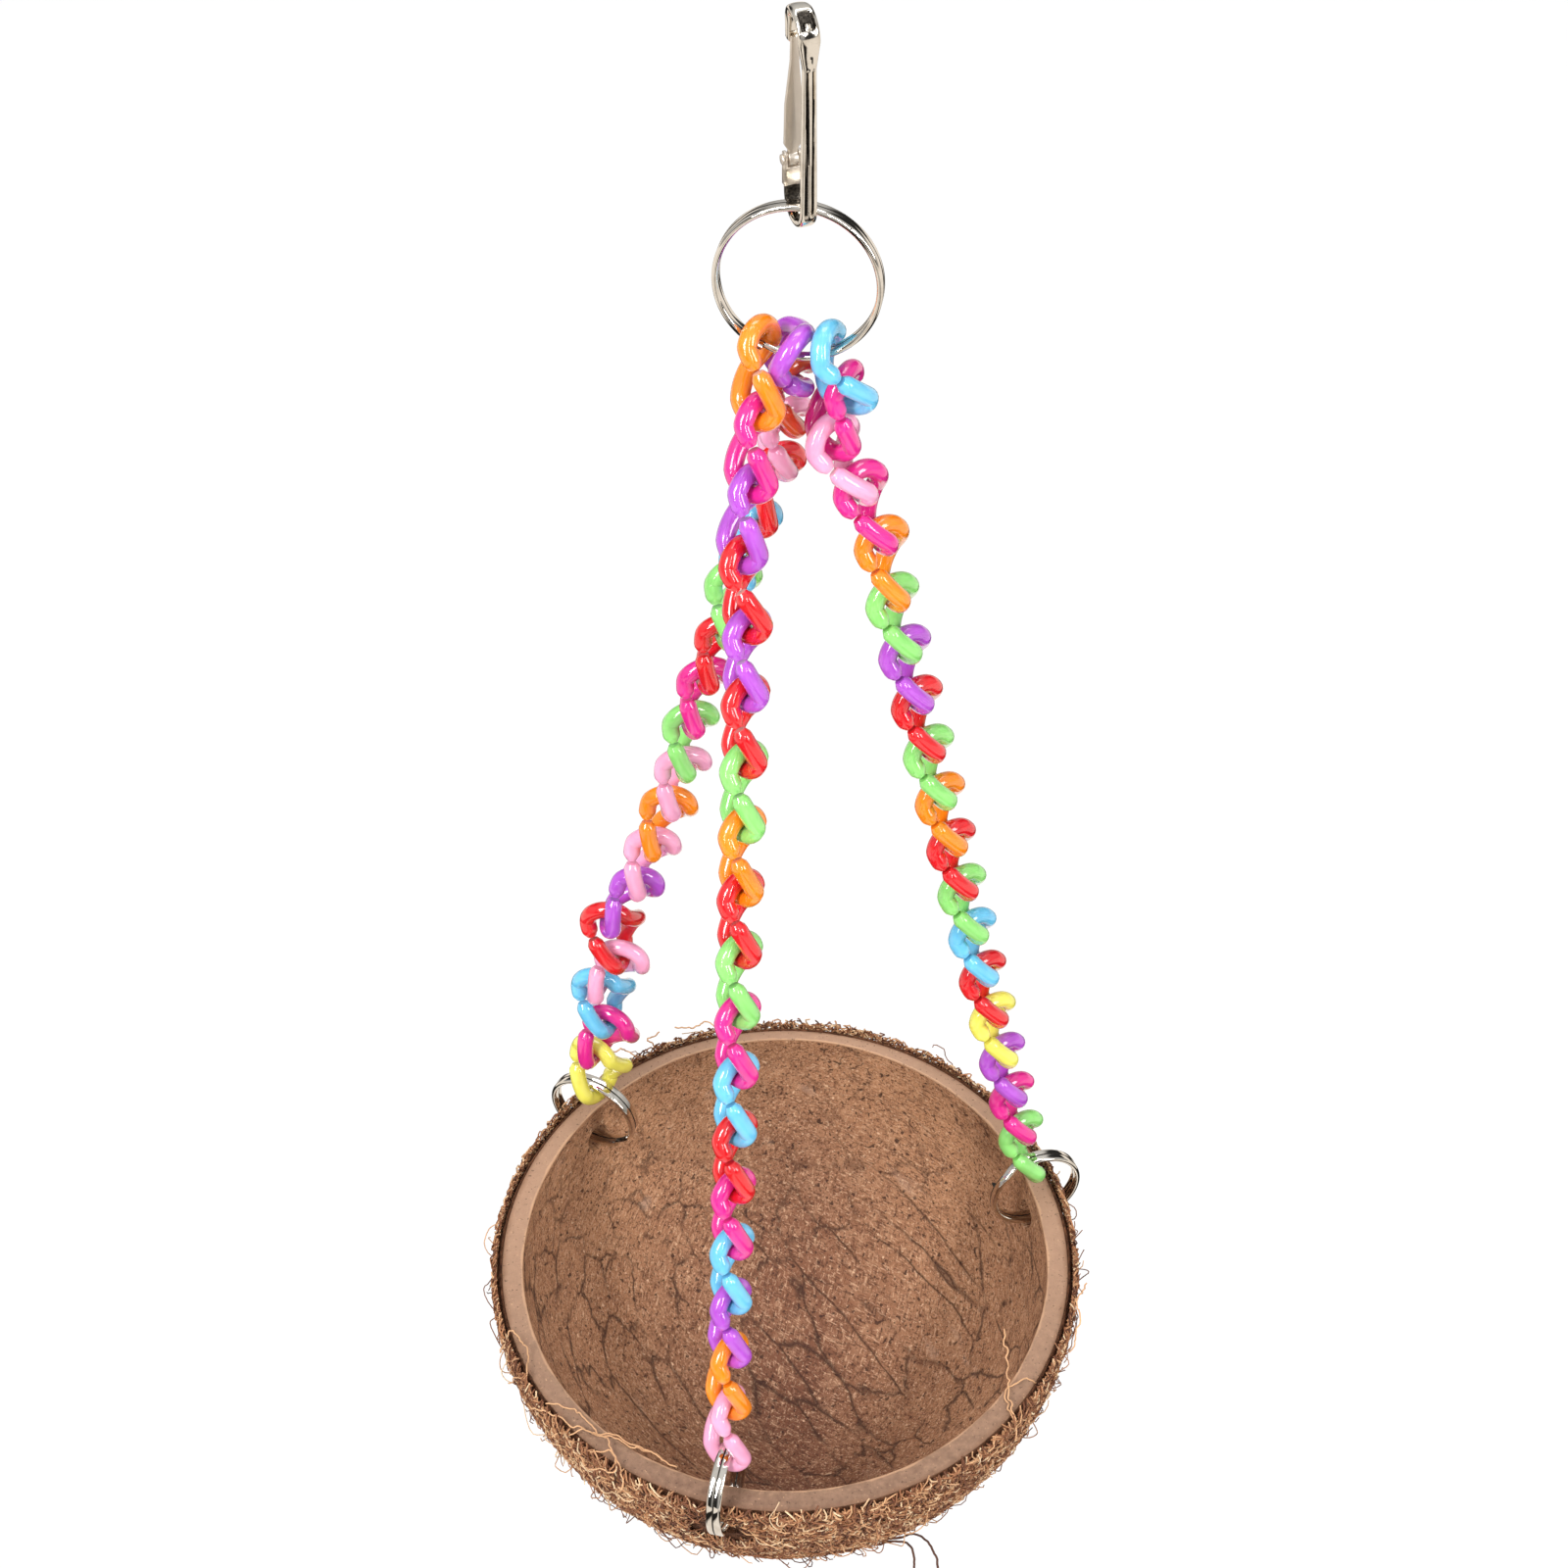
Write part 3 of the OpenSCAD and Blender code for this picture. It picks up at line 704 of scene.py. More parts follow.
# %% [markdown]
# ## The body of the hook
# The hook is cast as one bar that goes over the throat, down the spine and round the eye. All
# its relief is on the bar's outer side: a domed head with a hollow and a tongue in it, and two
# grooves that leave three ridges down the spine. So the bar is carried along its path, and
# one function says how far its skin stands out at each place. Its corners are round like
# those of a tumbled casting.

# %% The hook's measures
THROAT_R = 3 * MM
HOOK_T = 1.3 * MM
EYE_Z = -30.1 * MM
FORK_TOP = EYE_Z + 6.6 * MM
RIVET_Z = FORK_TOP - 1.3 * MM
NOSE_L = 3.8 * MM
HEAD_W, NECK_W, SPINE_W, NOSE_W = 3.5 * MM, 2.2 * MM, 2.7 * MM, 2.4 * MM
HEAD_TAPER = 4.2 * MM
FORK_W = 3 * MM
HOOK_TURN = math.radians(20)
HOOK_MID = THROAT_R + HOOK_T / 2
print("the hook is", round((2 * HOOK_MID + HOOK_T - EYE_Z) / MM, 1), "mm high")

# %% [markdown]
# The head is the widest part. The bar narrows below it and again towards the nose. On the head
# a place along the bar is given in degrees up from the throat's middle, and each feature fades
# in between two such angles and between two distances from the middle of the bar. Those that
# fade in as a value falls are written with minus signs.


# %% The hook's width and relief
GROOVE_AT, GROOVE_HALF, GROOVE_DEPTH = 0.47 * MM, 0.15 * MM, 0.4 * MM
GROOVE_START = (4.2 * MM, 4.9 * MM)
DEGREES_BELOW = 14  # for each millimetre below the throat's middle
HOLLOW_LOW, HOLLOW_HIGH, HOLLOW_SIDE = (28, 36), (-78, -66), (-1.2 * MM, -0.95 * MM)
TONGUE_HIGH, TONGUE_SIDE = (-52, -46), (-0.55 * MM, -0.4 * MM)
MARK_AT, MARK_SLOPE, MARK_EDGE = -40, 28, (-11, -7)
HOLLOW_DEPTH, MARK_DEPTH = 0.85 * MM, 0.12 * MM
TONGUE_SHARE = 0.85  # how much of the hollow the tongue fills


def hook_width(y, z):
    """The bar's width at a place on its path."""
    half = HOOK_MID + HOOK_T / 2
    down = between(-z, [(0, HEAD_W), (HEAD_TAPER, NECK_W), (-EYE_Z, SPINE_W)])
    back = between(y, [(0, HEAD_W), (half, NOSE_W)])
    return min(down, back)


def relief(x, y, z):
    """How far the outer skin is pressed in, at a place across the bar and along it."""
    on_spine = step_up(-z, *GROOVE_START) * step_up(z, EYE_Z - 1 * MM, EYE_Z) * (y < 0)
    off_groove = (abs(x) - GROOVE_AT) / GROOVE_HALF
    pressed = GROOVE_DEPTH * math.exp(-(off_groove**4)) * on_spine
    if y < 0 and z > -HEAD_TAPER:
        up = math.degrees(math.atan2(z, -y)) if z > 0 else z / MM * DEGREES_BELOW
        aside = -abs(x)
        hollow = step_up(up, *HOLLOW_LOW) * step_up(-up, *HOLLOW_HIGH)
        hollow *= step_up(aside, *HOLLOW_SIDE)
        tongue = step_up(-up, *TONGUE_HIGH) * step_up(aside, *TONGUE_SIDE)
        pressed += HOLLOW_DEPTH * hollow * (1 - TONGUE_SHARE * tongue)
        mark = step_up(-abs(up - MARK_AT) + MARK_SLOPE * aside / MM, *MARK_EDGE)
        pressed += MARK_DEPTH * mark
    return pressed


# %% [markdown]
# The path is the hook's own loop, flat in Y and Z. The sides of the bar are a rounded
# square (a superellipse): nearly round on the head, and flatter along the spine.

# %% The path of the hook
SECTION_STEPS = 72
NOSE_STEPS, LOOP_STEPS, SPINE_STEPS, EYE_STEPS = 8, 48, 90, 36
EYE_END_STEP = 1.2 * MM
# How much of the section is left at each of the first points, so that the nose is round.
NOSE_ROUND = ((0, 0.45), (1, 0.72), (2, 0.82), (8, 0.88), (20, 1))
SQUARE, LESS_SQUARE = 3.4, 0.9  # the superellipse's power on the spine, and its drop on the head


def half_turn(middle_z, start, steps):
    """Places and outward directions on half a turn of the bar."""
    for i in range(steps + 1):
        a = start + math.pi * i / steps
        c, n = math.cos(a), math.sin(a)
        yield HOOK_MID * c, middle_z + HOOK_MID * n, c, n


path = [(HOOK_MID, -NOSE_L + i * NOSE_L / NOSE_STEPS, 1, 0) for i in range(NOSE_STEPS)]
path += half_turn(0, 0, LOOP_STEPS)
path += [(-HOOK_MID, EYE_Z * i / SPINE_STEPS, -1, 0) for i in range(1, SPINE_STEPS)]
path += half_turn(EYE_Z, math.pi, EYE_STEPS)
path += [(HOOK_MID, EYE_Z + i * EYE_END_STEP, 1, 0) for i in (1, 2)]
print("the hook's path has", len(path), "points")

# %% [markdown]
# The relief is taken off the outer side of each section, and fades out at its edge. Faces of the
# eye and of the hollow get the rough finish, as the mould left them.

# %% The bar of the hook
FADE_SHARE = 0.3  # of the bar's thickness, over which the relief fades out
HOLLOW_FROM = 0.24 * MM  # where the relief is deeper than this the cast skin is rough
work = bmesh.new()
rings = []
for i, (y, z, out_y, out_z) in enumerate(path):
    drawn_in = between(i, NOSE_ROUND)
    half_w = hook_width(y, z) / 2 * drawn_in
    head = step_up(z, -3 * MM, 0.5 * MM)
    power = 2 / (SQUARE - LESS_SQUARE * head)
    ring = []
    for j in range(SECTION_STEPS):
        a = 2 * math.pi * j / SECTION_STEPS
        c, n = math.cos(a), math.sin(a)
        x = half_w * math.copysign(abs(c) ** power, c)
        skin = HOOK_T / 2 * math.copysign(abs(n) ** power, n) * drawn_in
        if n > 0:
            skin -= relief(x, y, z) * min(1, skin / (FADE_SHARE * HOOK_T))
        ring.append(work.verts.new((x, y + skin * out_y, z + skin * out_z)))
    rings.append(ring)
for one, other in zip(rings, rings[1:]):
    for j in range(SECTION_STEPS):
        k = (j + 1) % SECTION_STEPS
        face = work.faces.new((one[j], one[k], other[k], other[j]))
        spot = face.calc_center_median()
        in_eye = spot.y > 1 * MM and spot.z < EYE_Z + 1 * MM
        hollow = spot.y < 0 and 0 < j < SECTION_STEPS / 2 and relief(*spot) > HOLLOW_FROM
        face.material_index = int(in_eye or hollow)
for ring in (rings[0], rings[-1]):
    work.faces.new(ring)
print("the bar has", len(work.faces), "faces")

# %% [markdown]
# The fork that holds the gate's rivet is three small blocks with rounded edges: a foot and two
# cheeks. They join the bar in one mesh, which is then turned as the hook hangs.

# %% The fork, and the whole hook
FORK_GAP_HALF = 0.86 * MM
FORK_ROUND = 0.22 * MM
for x0, x1, z0, z1 in (
    (-FORK_W / 2, FORK_W / 2, EYE_Z + 0.6 * MM, RIVET_Z - 1.3 * MM),
    (-FORK_W / 2, -FORK_GAP_HALF, EYE_Z + 1.2 * MM, FORK_TOP),
    (FORK_GAP_HALF, FORK_W / 2, EYE_Z + 1.2 * MM, FORK_TOP),
):
    block = bmesh.new()
    bmesh.ops.create_cube(block, size=1)
    size = Matrix.Diagonal((x1 - x0, HOOK_T, z1 - z0, 1))
    middle = Matrix.Translation(((x0 + x1) / 2, HOOK_MID, (z0 + z1) / 2))
    bmesh.ops.transform(block, matrix=middle @ size, verts=block.verts)
    edges = {"geom": block.edges[:], "offset": FORK_ROUND, "segments": 4, "profile": 0.5}
    bmesh.ops.bevel(block, affect="EDGES", **edges)
    part = mesh_from(block, "fork part")
    cast_faces = len(work.faces)
    work.from_mesh(part)
    bpy.data.meshes.remove(part)
    work.faces.ensure_lookup_table()
    for face in work.faces[cast_faces:]:
        face.material_index = 2
bmesh.ops.rotate(work, matrix=Matrix.Rotation(HOOK_TURN, 3, "Z"), verts=work.verts)
bmesh.ops.recalc_face_normals(work, faces=work.faces)
hook_mesh = mesh_from(work, "cast_hook")
hook_mesh.shade_smooth()
hook_mesh.set_sharp_from_angle(angle=SHARP_ANGLE)
for finish in (nickel, rough_cast_and_painted_shade, gate_steel):
    hook_mesh.materials.append(finish)
hook = collect("cast_hook", hook_mesh)
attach(hook, body_of["snap_hook"])
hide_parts("snap_hook")
print("hook:", len(hook_mesh.polygons), "faces")

# %% [markdown]
# ## Gate and rivet
# The gate is stamped from strip and the rivet is headed over its pivot. A solid from CAD has
# knife edges that catch no light. So each one is copied, its loose triangles are joined and
# its flat faces made whole, and a bevel of a tenth of a millimetre rounds the edges.


# %% Round the edges of a solid
SAME_POINT = 0.002 * MM
FLAT_ANGLE = math.radians(1)
BEVEL_ANGLE = math.radians(28)
EDGE_ROUND = 0.1 * MM
EDGE_SHARP = math.radians(40)


def rounded_copy(node, name, material):
    """A copy of a solid with round edges takes its place."""
    mesh = frame["nodes"][node].data.copy()
    mesh.name = name
    work = bmesh.new()
    work.from_mesh(mesh)
    bmesh.ops.remove_doubles(work, verts=work.verts, dist=SAME_POINT)
    bmesh.ops.dissolve_limit(work, angle_limit=FLAT_ANGLE, verts=work.verts, edges=work.edges)
    work.to_mesh(mesh)
    work.free()
    mesh.materials.clear()
    mesh.materials.append(material)
    piece = collect(name, mesh)
    bevel = piece.modifiers.new("rounded edges", "BEVEL")
    bevel.width = EDGE_ROUND
    bevel.segments = 3
    bevel.limit_method = "ANGLE"
    bevel.angle_limit = BEVEL_ANGLE
    piece.data = finished_mesh(piece)
    piece.modifiers.clear()
    piece.data.shade_smooth()
    piece.data.set_sharp_from_angle(angle=EDGE_SHARP)
    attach(piece, body_of[node])
    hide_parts(node)
    print(name, len(piece.data.polygons), "faces")


rounded_copy("hook_gate", "stamped_gate", gate_steel)
rounded_copy("gate_rivet", "rivet", gate_steel)

# %% [markdown]
# ## The coconut shell
# The shell is a half ball with a tilt of a few degrees, under a coat of coir. Its middle is read
# from the solid of the coat, and all that follows is made in the bowl's own coordinates.

# %% Where the bowl is
BOWL_R = 58.5 * MM
SHELL_R = 56.8 * MM
INNER_R = 52.3 * MM
BOWL_TILT = math.radians(6)
HOLE_R = 3 * MM
HOLE_OUT = 54.744 * MM
HOLE_DROP = 8.5 * MM
HOLE_TURNS = (258, 18, 138)
coat_low, coat_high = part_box("coir_coat")
bowl_middle = Vector(
    ((coat_low.x + coat_high.x) / 2, coat_high.y - BOWL_R, coat_low.z + BOWL_R)
)
bowl_place = Matrix.Translation(bowl_middle) @ Matrix.Rotation(BOWL_TILT, 4, "X")
print("middle of the bowl:", [round(v / MM, 2) for v in bowl_middle])

# %% [markdown]
# The inside is the hard shell, sanded but not sealed. Dark veins run through it where the fibres
# of the husk were rooted: they branch, fade out and start again. Cells of a Voronoi pattern have
# edges that meet like such veins, and a slow noise bends them and lets them fade. The veins and
# the sanding marks run in bundles, so they need coordinates that are stretched along one way.


# %% Patterns of the shell
def in_bowl(tree, place):
    """Millimetres from the middle of the bowl, with its tilt taken out."""
    moved = calc_place(tree, place, [v / MM for v in bowl_middle], "SUBTRACT")
    tilted = {"Vector": moved, "Rotation": (-BOWL_TILT, 0, 0)}
    return add(tree, "ShaderNodeMapping", tilted).outputs[0]


def veins(tree, place, cell, width, bend, seed, rare):
    """Dark lines round cells of a size, bent by noise, that fade out. 1 is on a line."""
    shift = calc_place(tree, place, [seed] * 3)
    wander = {"Vector": shift, "Scale": 1 / (cell * 0.45), "Detail": 4.0}
    wander = add(tree, "ShaderNodeTexNoise", wander).outputs["Color"]
    bent = {0: wander, 1: [bend] * 3, 2: shift}
    bent = add(tree, "ShaderNodeVectorMath", bent, operation="MULTIPLY_ADD").outputs[0]
    cells = {"Vector": bent, "Scale": 1 / cell}
    cells = add(tree, "ShaderNodeTexVoronoi", cells, feature="DISTANCE_TO_EDGE").outputs[0]
    line = ramp(tree, cells, 0.0, width / cell, 1.0, 0.0)
    fade = ramp(tree, grain(tree, shift, cell * 0.9, 3), rare, rare + 0.13)
    return calc(tree, line, fade)


def stretched(tree, place, turn, factor):
    """Coordinates in which patterns come out longer, by factor, along a turned X axis."""
    inputs = {"Vector": place, "Rotation": turn, "Scale": (factor, 1.0, 1.0)}
    return add(tree, "ShaderNodeMapping", inputs, vector_type="TEXTURE").outputs[0]


# %% [markdown]
# Sanding leaves a dull reddish brown with fine scratches. Light and shade are painted into the
# tone: it is paler high up at the back and at the sides, and darker low in front and in the
# middle. The tone is laid in layers: clouds, mottle, pale and dark strokes, dark pores and pale
# flecks, a few smudges, and the veins over all.

# %% The sanded shell finish
sanded, tree, shader, place = new_finish("sanded coconut shell")
bowl = in_bowl(tree, place)
clouds = ramp(tree, grain(tree, bowl, 20, 4), 0.32, 0.68)
middling = ramp(tree, grain(tree, bowl, 3.4, 6, 0.75, 0.5), 0.34, 0.66)
fine = ramp(tree, grain(tree, bowl, 0.5, 4, 0.75), 0.3, 0.7)
axes = add(tree, "ShaderNodeSeparateXYZ", {0: bowl}).outputs
# Painted light and shade: the tone gets paler towards the high back and the sides, and darker low in front and in
# the middle.
upper = calc(tree, calc(tree, axes["Y"], 0.7), calc(tree, axes["Z"], 0.7), "ADD")
aside = ramp(tree, calc(tree, axes["X"], how="ABSOLUTE"), 5.0, 36.0, 0, 0.62)
painted_light_and_shade = calc(tree, calc(tree, ramp(tree, upper, -30.0, 44.0), 2.0, "POWER"), aside, "ADD")
tone = blend(tree, painted_light_and_shade, light("#704838"), light("#CE9B72"))
tone = layer(tree, tone, clouds, 0, 1, 0.3, "#9A6A4B")
tone = layer(tree, tone, middling, 0.45, 1.0, 0.5, "#6E4A39")
tone = layer(tree, tone, middling, 0.5, 0.0, 0.4, "#C39A79")
tone = layer(tree, tone, fine, 0, 1, 0.4, "#85583F")
flow = stretched(tree, bowl, (0, 0, -0.95), 4.5)
upward = stretched(tree, bowl, (0, -0.35, 1.3), 5.0)
across = stretched(tree, bowl, (0, 0, -0.6), 4.5)
for lie, width in ((upward, 0.42), (across, 0.36)):
    strokes = grain(tree, lie, width, 2, 0.5, 0.8)
    tone = layer(tree, tone, strokes, 0.6, 0.67, 0.55, "#D8B391")
    tone = layer(tree, tone, strokes, 0.43, 0.35, 0.75, "#4F3226")
specks = grain(tree, bowl, 1.1, 1, 0.4)
tone = layer(tree, tone, specks, 0.33, 0.28, 0.85, "#36221B")
tone = layer(tree, tone, specks, 0.73, 0.77, 0.7, "#E2BF9C")
tone = layer(tree, tone, grain(tree, flow, 9, 2), 0.66, 0.76, 0.45, "#C3A58F")

# %% [markdown]
# Three kinds of veins: long ones that run with the flow in the lower half, a wide net that is
# strongest above, and hairlines. Each kind has cells of its own size and a seed of its own.

# %% The veins of the shell
lower = ramp(tree, upper, 16.0, -6.0)
long = calc(tree, veins(tree, flow, 8, 0.42, 3.5, 3.0, 0.4), ramp(tree, lower, 0, 1, 0.3, 0.9))
net = calc(tree, veins(tree, bowl, 12, 0.36, 9, 31.0, 0.49), ramp(tree, lower, 0, 1, 0.85, 0.25))
hair = calc(tree, veins(tree, bowl, 4, 0.17, 3.5, 77.0, 0.5), 0.4)
dark = calc(tree, calc(tree, long, net, "MAXIMUM"), hair, "MAXIMUM")
tone = blend(tree, dark, tone, light("#3A241C"))
tree.links.new(tone, shader.inputs["Base Color"])
tree.links.new(ramp(tree, fine, 0, 1, 0.6, 0.8), shader.inputs["Roughness"])
shader.inputs["Specular IOR Level"].default_value = 0.25
uneven = calc(tree, calc(tree, fine, 0.4), calc(tree, dark, -1.0), "ADD")
dent(tree, shader, calc(tree, uneven, calc(tree, middling, 0.5), "ADD"), 0.35, 0.8)
print("finish:", sanded.name)

# %% [markdown]
# The rim was sawn and sanded smooth. It is greyer than the inside, because the saw cuts
# across the stone cells. A thin pale line runs along its inner edge and turns brown towards
# the husk. Both follow an attribute that the mesh keeps: the share of the way over the rim.

# %% The sawn rim finish
rim, tree, shader, place = new_finish("sawn coconut shell rim")
bowl = in_bowl(tree, place)
over = add(tree, "ShaderNodeAttribute", attribute_name="rim share").outputs["Fac"]
wobble = calc(tree, calc(tree, grain(tree, bowl, 5, 3), 0.5, "SUBTRACT"), 0.35)
over = calc(tree, over, wobble, "ADD")
mottle = ramp(tree, grain(tree, bowl, 2.0, 6, 0.72), 0.3, 0.7)
back = ramp(tree, add(tree, "ShaderNodeSeparateXYZ", {0: bowl}).outputs["Y"], -50.0, 5.0)
tone = blend(tree, mottle, light("#6A4F3E"), light("#8F705A"))
tone = layer(tree, tone, back, 0, 1, 0.55, "#B08C72")
tone = layer(tree, tone, over, 0.75, 0.98, 0.7, "#7A573F")
tone = layer(tree, tone, over, 0.13, 0.06, 0.5, "#C79C78")
tone = layer(tree, tone, grain(tree, bowl, 0.6, 2), 0.36, 0.28, 0.75, "#463226")
tone = layer(tree, tone, grain(tree, bowl, 0.5, 2, 0.5, 0.5), 0.68, 0.74, 0.5, "#C9A27C")
tree.links.new(tone, shader.inputs["Base Color"])
tree.links.new(ramp(tree, mottle, 0, 1, 0.5, 0.7), shader.inputs["Roughness"])
shader.inputs["Specular IOR Level"].default_value = 0.3
dent(tree, shader, mottle, 0.12, 0.6)
print("finish:", rim.name)

# %% [markdown]
# The wall of the shell is a curve turned about the middle of the bowl, so it is made with a
# short loop: up the inside, over the rim and down the outside. A smooth noise moves its
# points by a few tenths of a millimetre, since no coconut is a perfect ball, and the wall is
# thinner at the back of the rim. The three holes are cut afterwards, as a drill would.

# %% The outline of a wall
ROUND_STEPS = 240
SIDE_STEPS, RIM_STEPS, EDGE_STEPS = 60, 12, 6
INSIDE, RIM, OUTSIDE = 0, 1, 2


def wall_outline(inner, outer, edge, outer_drop):
    """Radius, height, side of the wall and share of the way over the rim."""
    outline = []
    for i in range(1, SIDE_STEPS):
        a = math.pi / 2 * i / SIDE_STEPS
        outline.append((inner * math.sin(a), -inner * math.cos(a), INSIDE, 0))
    corners = []
    quarter = [math.pi / 2 * i / EDGE_STEPS for i in range(EDGE_STEPS + 1)]
    for a in quarter:
        corners.append((inner + edge - edge * math.cos(a), edge * math.sin(a) - edge))
    for i in range(1, RIM_STEPS):
        share = i / RIM_STEPS
        corners.append((inner + edge + (outer - inner - 2 * edge) * share, -outer_drop * share**2))
    for a in quarter:
        drop = edge + outer_drop
        corners.append((outer - edge + edge * math.sin(a), edge * math.cos(a) - drop))
    for r, z in corners:
        outline.append((r, z, RIM, (r - inner) / (outer - inner)))
    start = math.degrees(math.asin((edge + outer_drop) / outer))
    for i in range(1, SIDE_STEPS):
        a = math.radians(90 - start) * (1 - i / SIDE_STEPS)
        outline.append((outer * math.sin(a), -outer * math.cos(a), OUTSIDE, 1))
    return outline


# %% Turn the outline to a half ball
BACK_THINNER = 1.7 * MM
SLOW_LUMP, FINE_LUMP = 14 * MM, 2.6 * MM


def half_ball(name, outline, inner, outer, waves, inward, back):
    """A half ball's wall. Its inside moves by waves and back, and its outside by inward."""
    work = bmesh.new()
    way_over = work.verts.layers.float.new("rim share")
    rings = []
    for r, z, side, share in outline:
        ring = []
        for j in range(ROUND_STEPS):
            a = 2 * math.pi * j / ROUND_STEPS
            p = Vector((r * math.cos(a), r * math.sin(a), z))
            wave = 0.5 + 0.5 * noise.noise(p / SLOW_LUMP)
            rough = 0.5 + 0.5 * noise.noise(p / FINE_LUMP)
            thinner = back * max(0, math.sin(a)) ** 2 * step_up(z, -30 * MM, 0) * (1 - share)
            p *= 1 + (thinner + waves * wave * (1 - share)) / p.length
            p *= 1 - inward * share * (0.4 * wave + 0.6 * rough) / p.length
            if side == RIM:
                p.z -= (waves + inward) * 0.35 * wave
            vert = work.verts.new(bowl_place @ p)
            vert[way_over] = share
            ring.append(vert)
        rings.append(ring)
    sides = [side for _, _, side, _ in outline]
    for one, other, side in zip(rings, rings[1:], sides):
        for j in range(ROUND_STEPS):
            k = (j + 1) % ROUND_STEPS
            face = work.faces.new((one[j], one[k], other[k], other[j]))
            face.material_index = int(side == RIM)
    bottom = work.verts.new(bowl_place @ Vector((0, 0, -inner)))
    end = work.verts.new(bowl_place @ Vector((0, 0, -outer)))
    for j in range(ROUND_STEPS):
        k = (j + 1) % ROUND_STEPS
        work.faces.new((bottom, rings[0][k], rings[0][j]))
        work.faces.new((end, rings[-1][j], rings[-1][k]))
    bmesh.ops.recalc_face_normals(work, faces=work.faces)
    return collect(name, mesh_from(work, name))


# %% [markdown]
# The holes are drilled square to the wall. A round bar at each place is taken away from the
# wall, and the same holes go through the coir later.


# %% Drill the holes
DRILL_SIDES, DRILL_LENGTH = 40, 14 * MM
WALL_SHARP = math.radians(55)


def drill(piece):
    """Cuts the three holes for the rings."""
    work = bmesh.new()
    for turn in HOLE_TURNS:
        at = Matrix.Rotation(math.radians(turn), 4, "Z")
        at = at @ Matrix.Translation((HOLE_OUT, 0, -HOLE_DROP))
        at = bowl_place @ at @ Matrix.Rotation(math.pi / 2, 4, "Y")
        sizes = {"segments": DRILL_SIDES, "radius1": HOLE_R, "radius2": HOLE_R}
        sizes["depth"] = DRILL_LENGTH
        bmesh.ops.create_cone(work, cap_ends=True, matrix=at, **sizes)
    bit = collect("drill", mesh_from(work, "drill"))
    cut = piece.modifiers.new("holes", "BOOLEAN")
    cut.operation = "DIFFERENCE"
    cut.object = bit
    cut.solver = "EXACT"
    piece.data = finished_mesh(piece)
    piece.modifiers.clear()
    bpy.data.objects.remove(bit)
    piece.data.shade_smooth()
    piece.data.set_sharp_from_angle(angle=WALL_SHARP)


outline = wall_outline(INNER_R, SHELL_R, 0.35 * MM, 0.3 * MM)
shell = half_ball("hard_shell", outline, INNER_R, SHELL_R, 0.4 * MM, 0.0, BACK_THINNER)
for finish in (sanded, rim):
    shell.data.materials.append(finish)
drill(shell)
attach(shell, "bowl")
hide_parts("coconut_shell")
print("shell:", len(shell.data.polygons), "faces")

# %% [markdown]
# ## Coir
# Coir is the matted fibre of the husk. It is made in two steps. A rough mat gives it a body,
# painted dark as the shade in the depths between the fibres, so that no gap shows through. Then
# tens of thousands of fibres lie over it.
# Their colours go from nearly black to straw, and each fibre has a tone of its own.

# %% The coir finishes
felt_and_painted_shade, tree, shader, place = new_finish("matted coir")
mat = ramp(tree, grain(tree, place, 1.4, 5, 0.7, 0.8), 0.3, 0.7)
# Painted shade: the mat's dark tone stands in for the shade between the fibres.
tone = blend(tree, mat, light("#351F14"), light("#80543B"))
tree.links.new(tone, shader.inputs["Base Color"])
shader.inputs["Roughness"].default_value = 0.9
shader.inputs["Specular IOR Level"].default_value = 0.15
dent(tree, shader, mat, 0.8, 1.0)

fibre, tree, shader, place = new_finish("coir fibre")
own = add(tree, "ShaderNodeAttribute", attribute_name="tone").outputs["Fac"]
tones = add(tree, "ShaderNodeValToRGB", {0: own})
TONES = {0.0: "#42251A", 0.25: "#7C4D34", 0.6: "#B07B54", 0.87: "#D8AA7E", 1.0: "#F6DCB4"}
while len(tones.color_ramp.elements) < len(TONES):
    tones.color_ramp.elements.new(0.5)
for element, (share, code) in zip(tones.color_ramp.elements, TONES.items()):
    element.position = share
    element.color = light(code)
stained = ramp(tree, grain(tree, place, 9, 3), 0.35, 0.65)
tone = layer(tree, tones.outputs[0], stained, 0, 1, 0.3, "#875A42")
tree.links.new(tone, shader.inputs["Base Color"])
shader.inputs["Roughness"].default_value = 0.62
shader.inputs["Specular IOR Level"].default_value = 0.3
print("finishes:", felt_and_painted_shade.name, "and", fibre.name)

# %% [markdown]
# The mat is a second wall outside the shell, made and drilled in the same way. Its outside is
# pressed in by the fine lumps, so that it isn't a smooth ball between the fibres.

# %% Make the mat
MAT_R = BOWL_R - 0.2 * MM
outline = wall_outline(SHELL_R, MAT_R, 0.4 * MM, 1.4 * MM)
coat = half_ball("coir_mat", outline, SHELL_R, MAT_R, 0.0, 1.2 * MM, 0.0)
coat.data.materials.append(felt_and_painted_shade)
coat.data.materials.append(felt_and_painted_shade)
drill(coat)
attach(coat, "bowl")
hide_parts("coir_coat")
print("coat:", len(coat.data.polygons), "faces")

# %% [markdown]
# The tree for the fibres takes a patch of the outside and scatters points on it. Each point
# gets one line, turned by chance about the surface's own direction. Noise then bends the lines,
# and each point of a line is put back at its height over the ball: low at the ends and a
# little higher at its peak, so that fibres lie over each other. A peak half way gives a fibre
# that lies in the mat (1 puts it there), and a peak at the end gives a bristle (0.5). A random
# number is kept on each fibre for its colour.

# %% The fibre tree
sockets = {
    "Density": "NodeSocketFloat",
    "Length": "NodeSocketFloat",
    "Thickness": "NodeSocketFloat",
    "Lift": "NodeSocketFloat",
    "Bend": "NodeSocketFloat",
    "Wave": "NodeSocketFloat",
    "Peak": "NodeSocketFloat",
    "Points": "NodeSocketInt",
    "Seed": "NodeSocketInt",
    "Ball": "NodeSocketFloat",
    "Middle": "NodeSocketVector",
    "Material": "NodeSocketMaterial",
}
tree, given = new_tree("fibres on a ball", sockets)


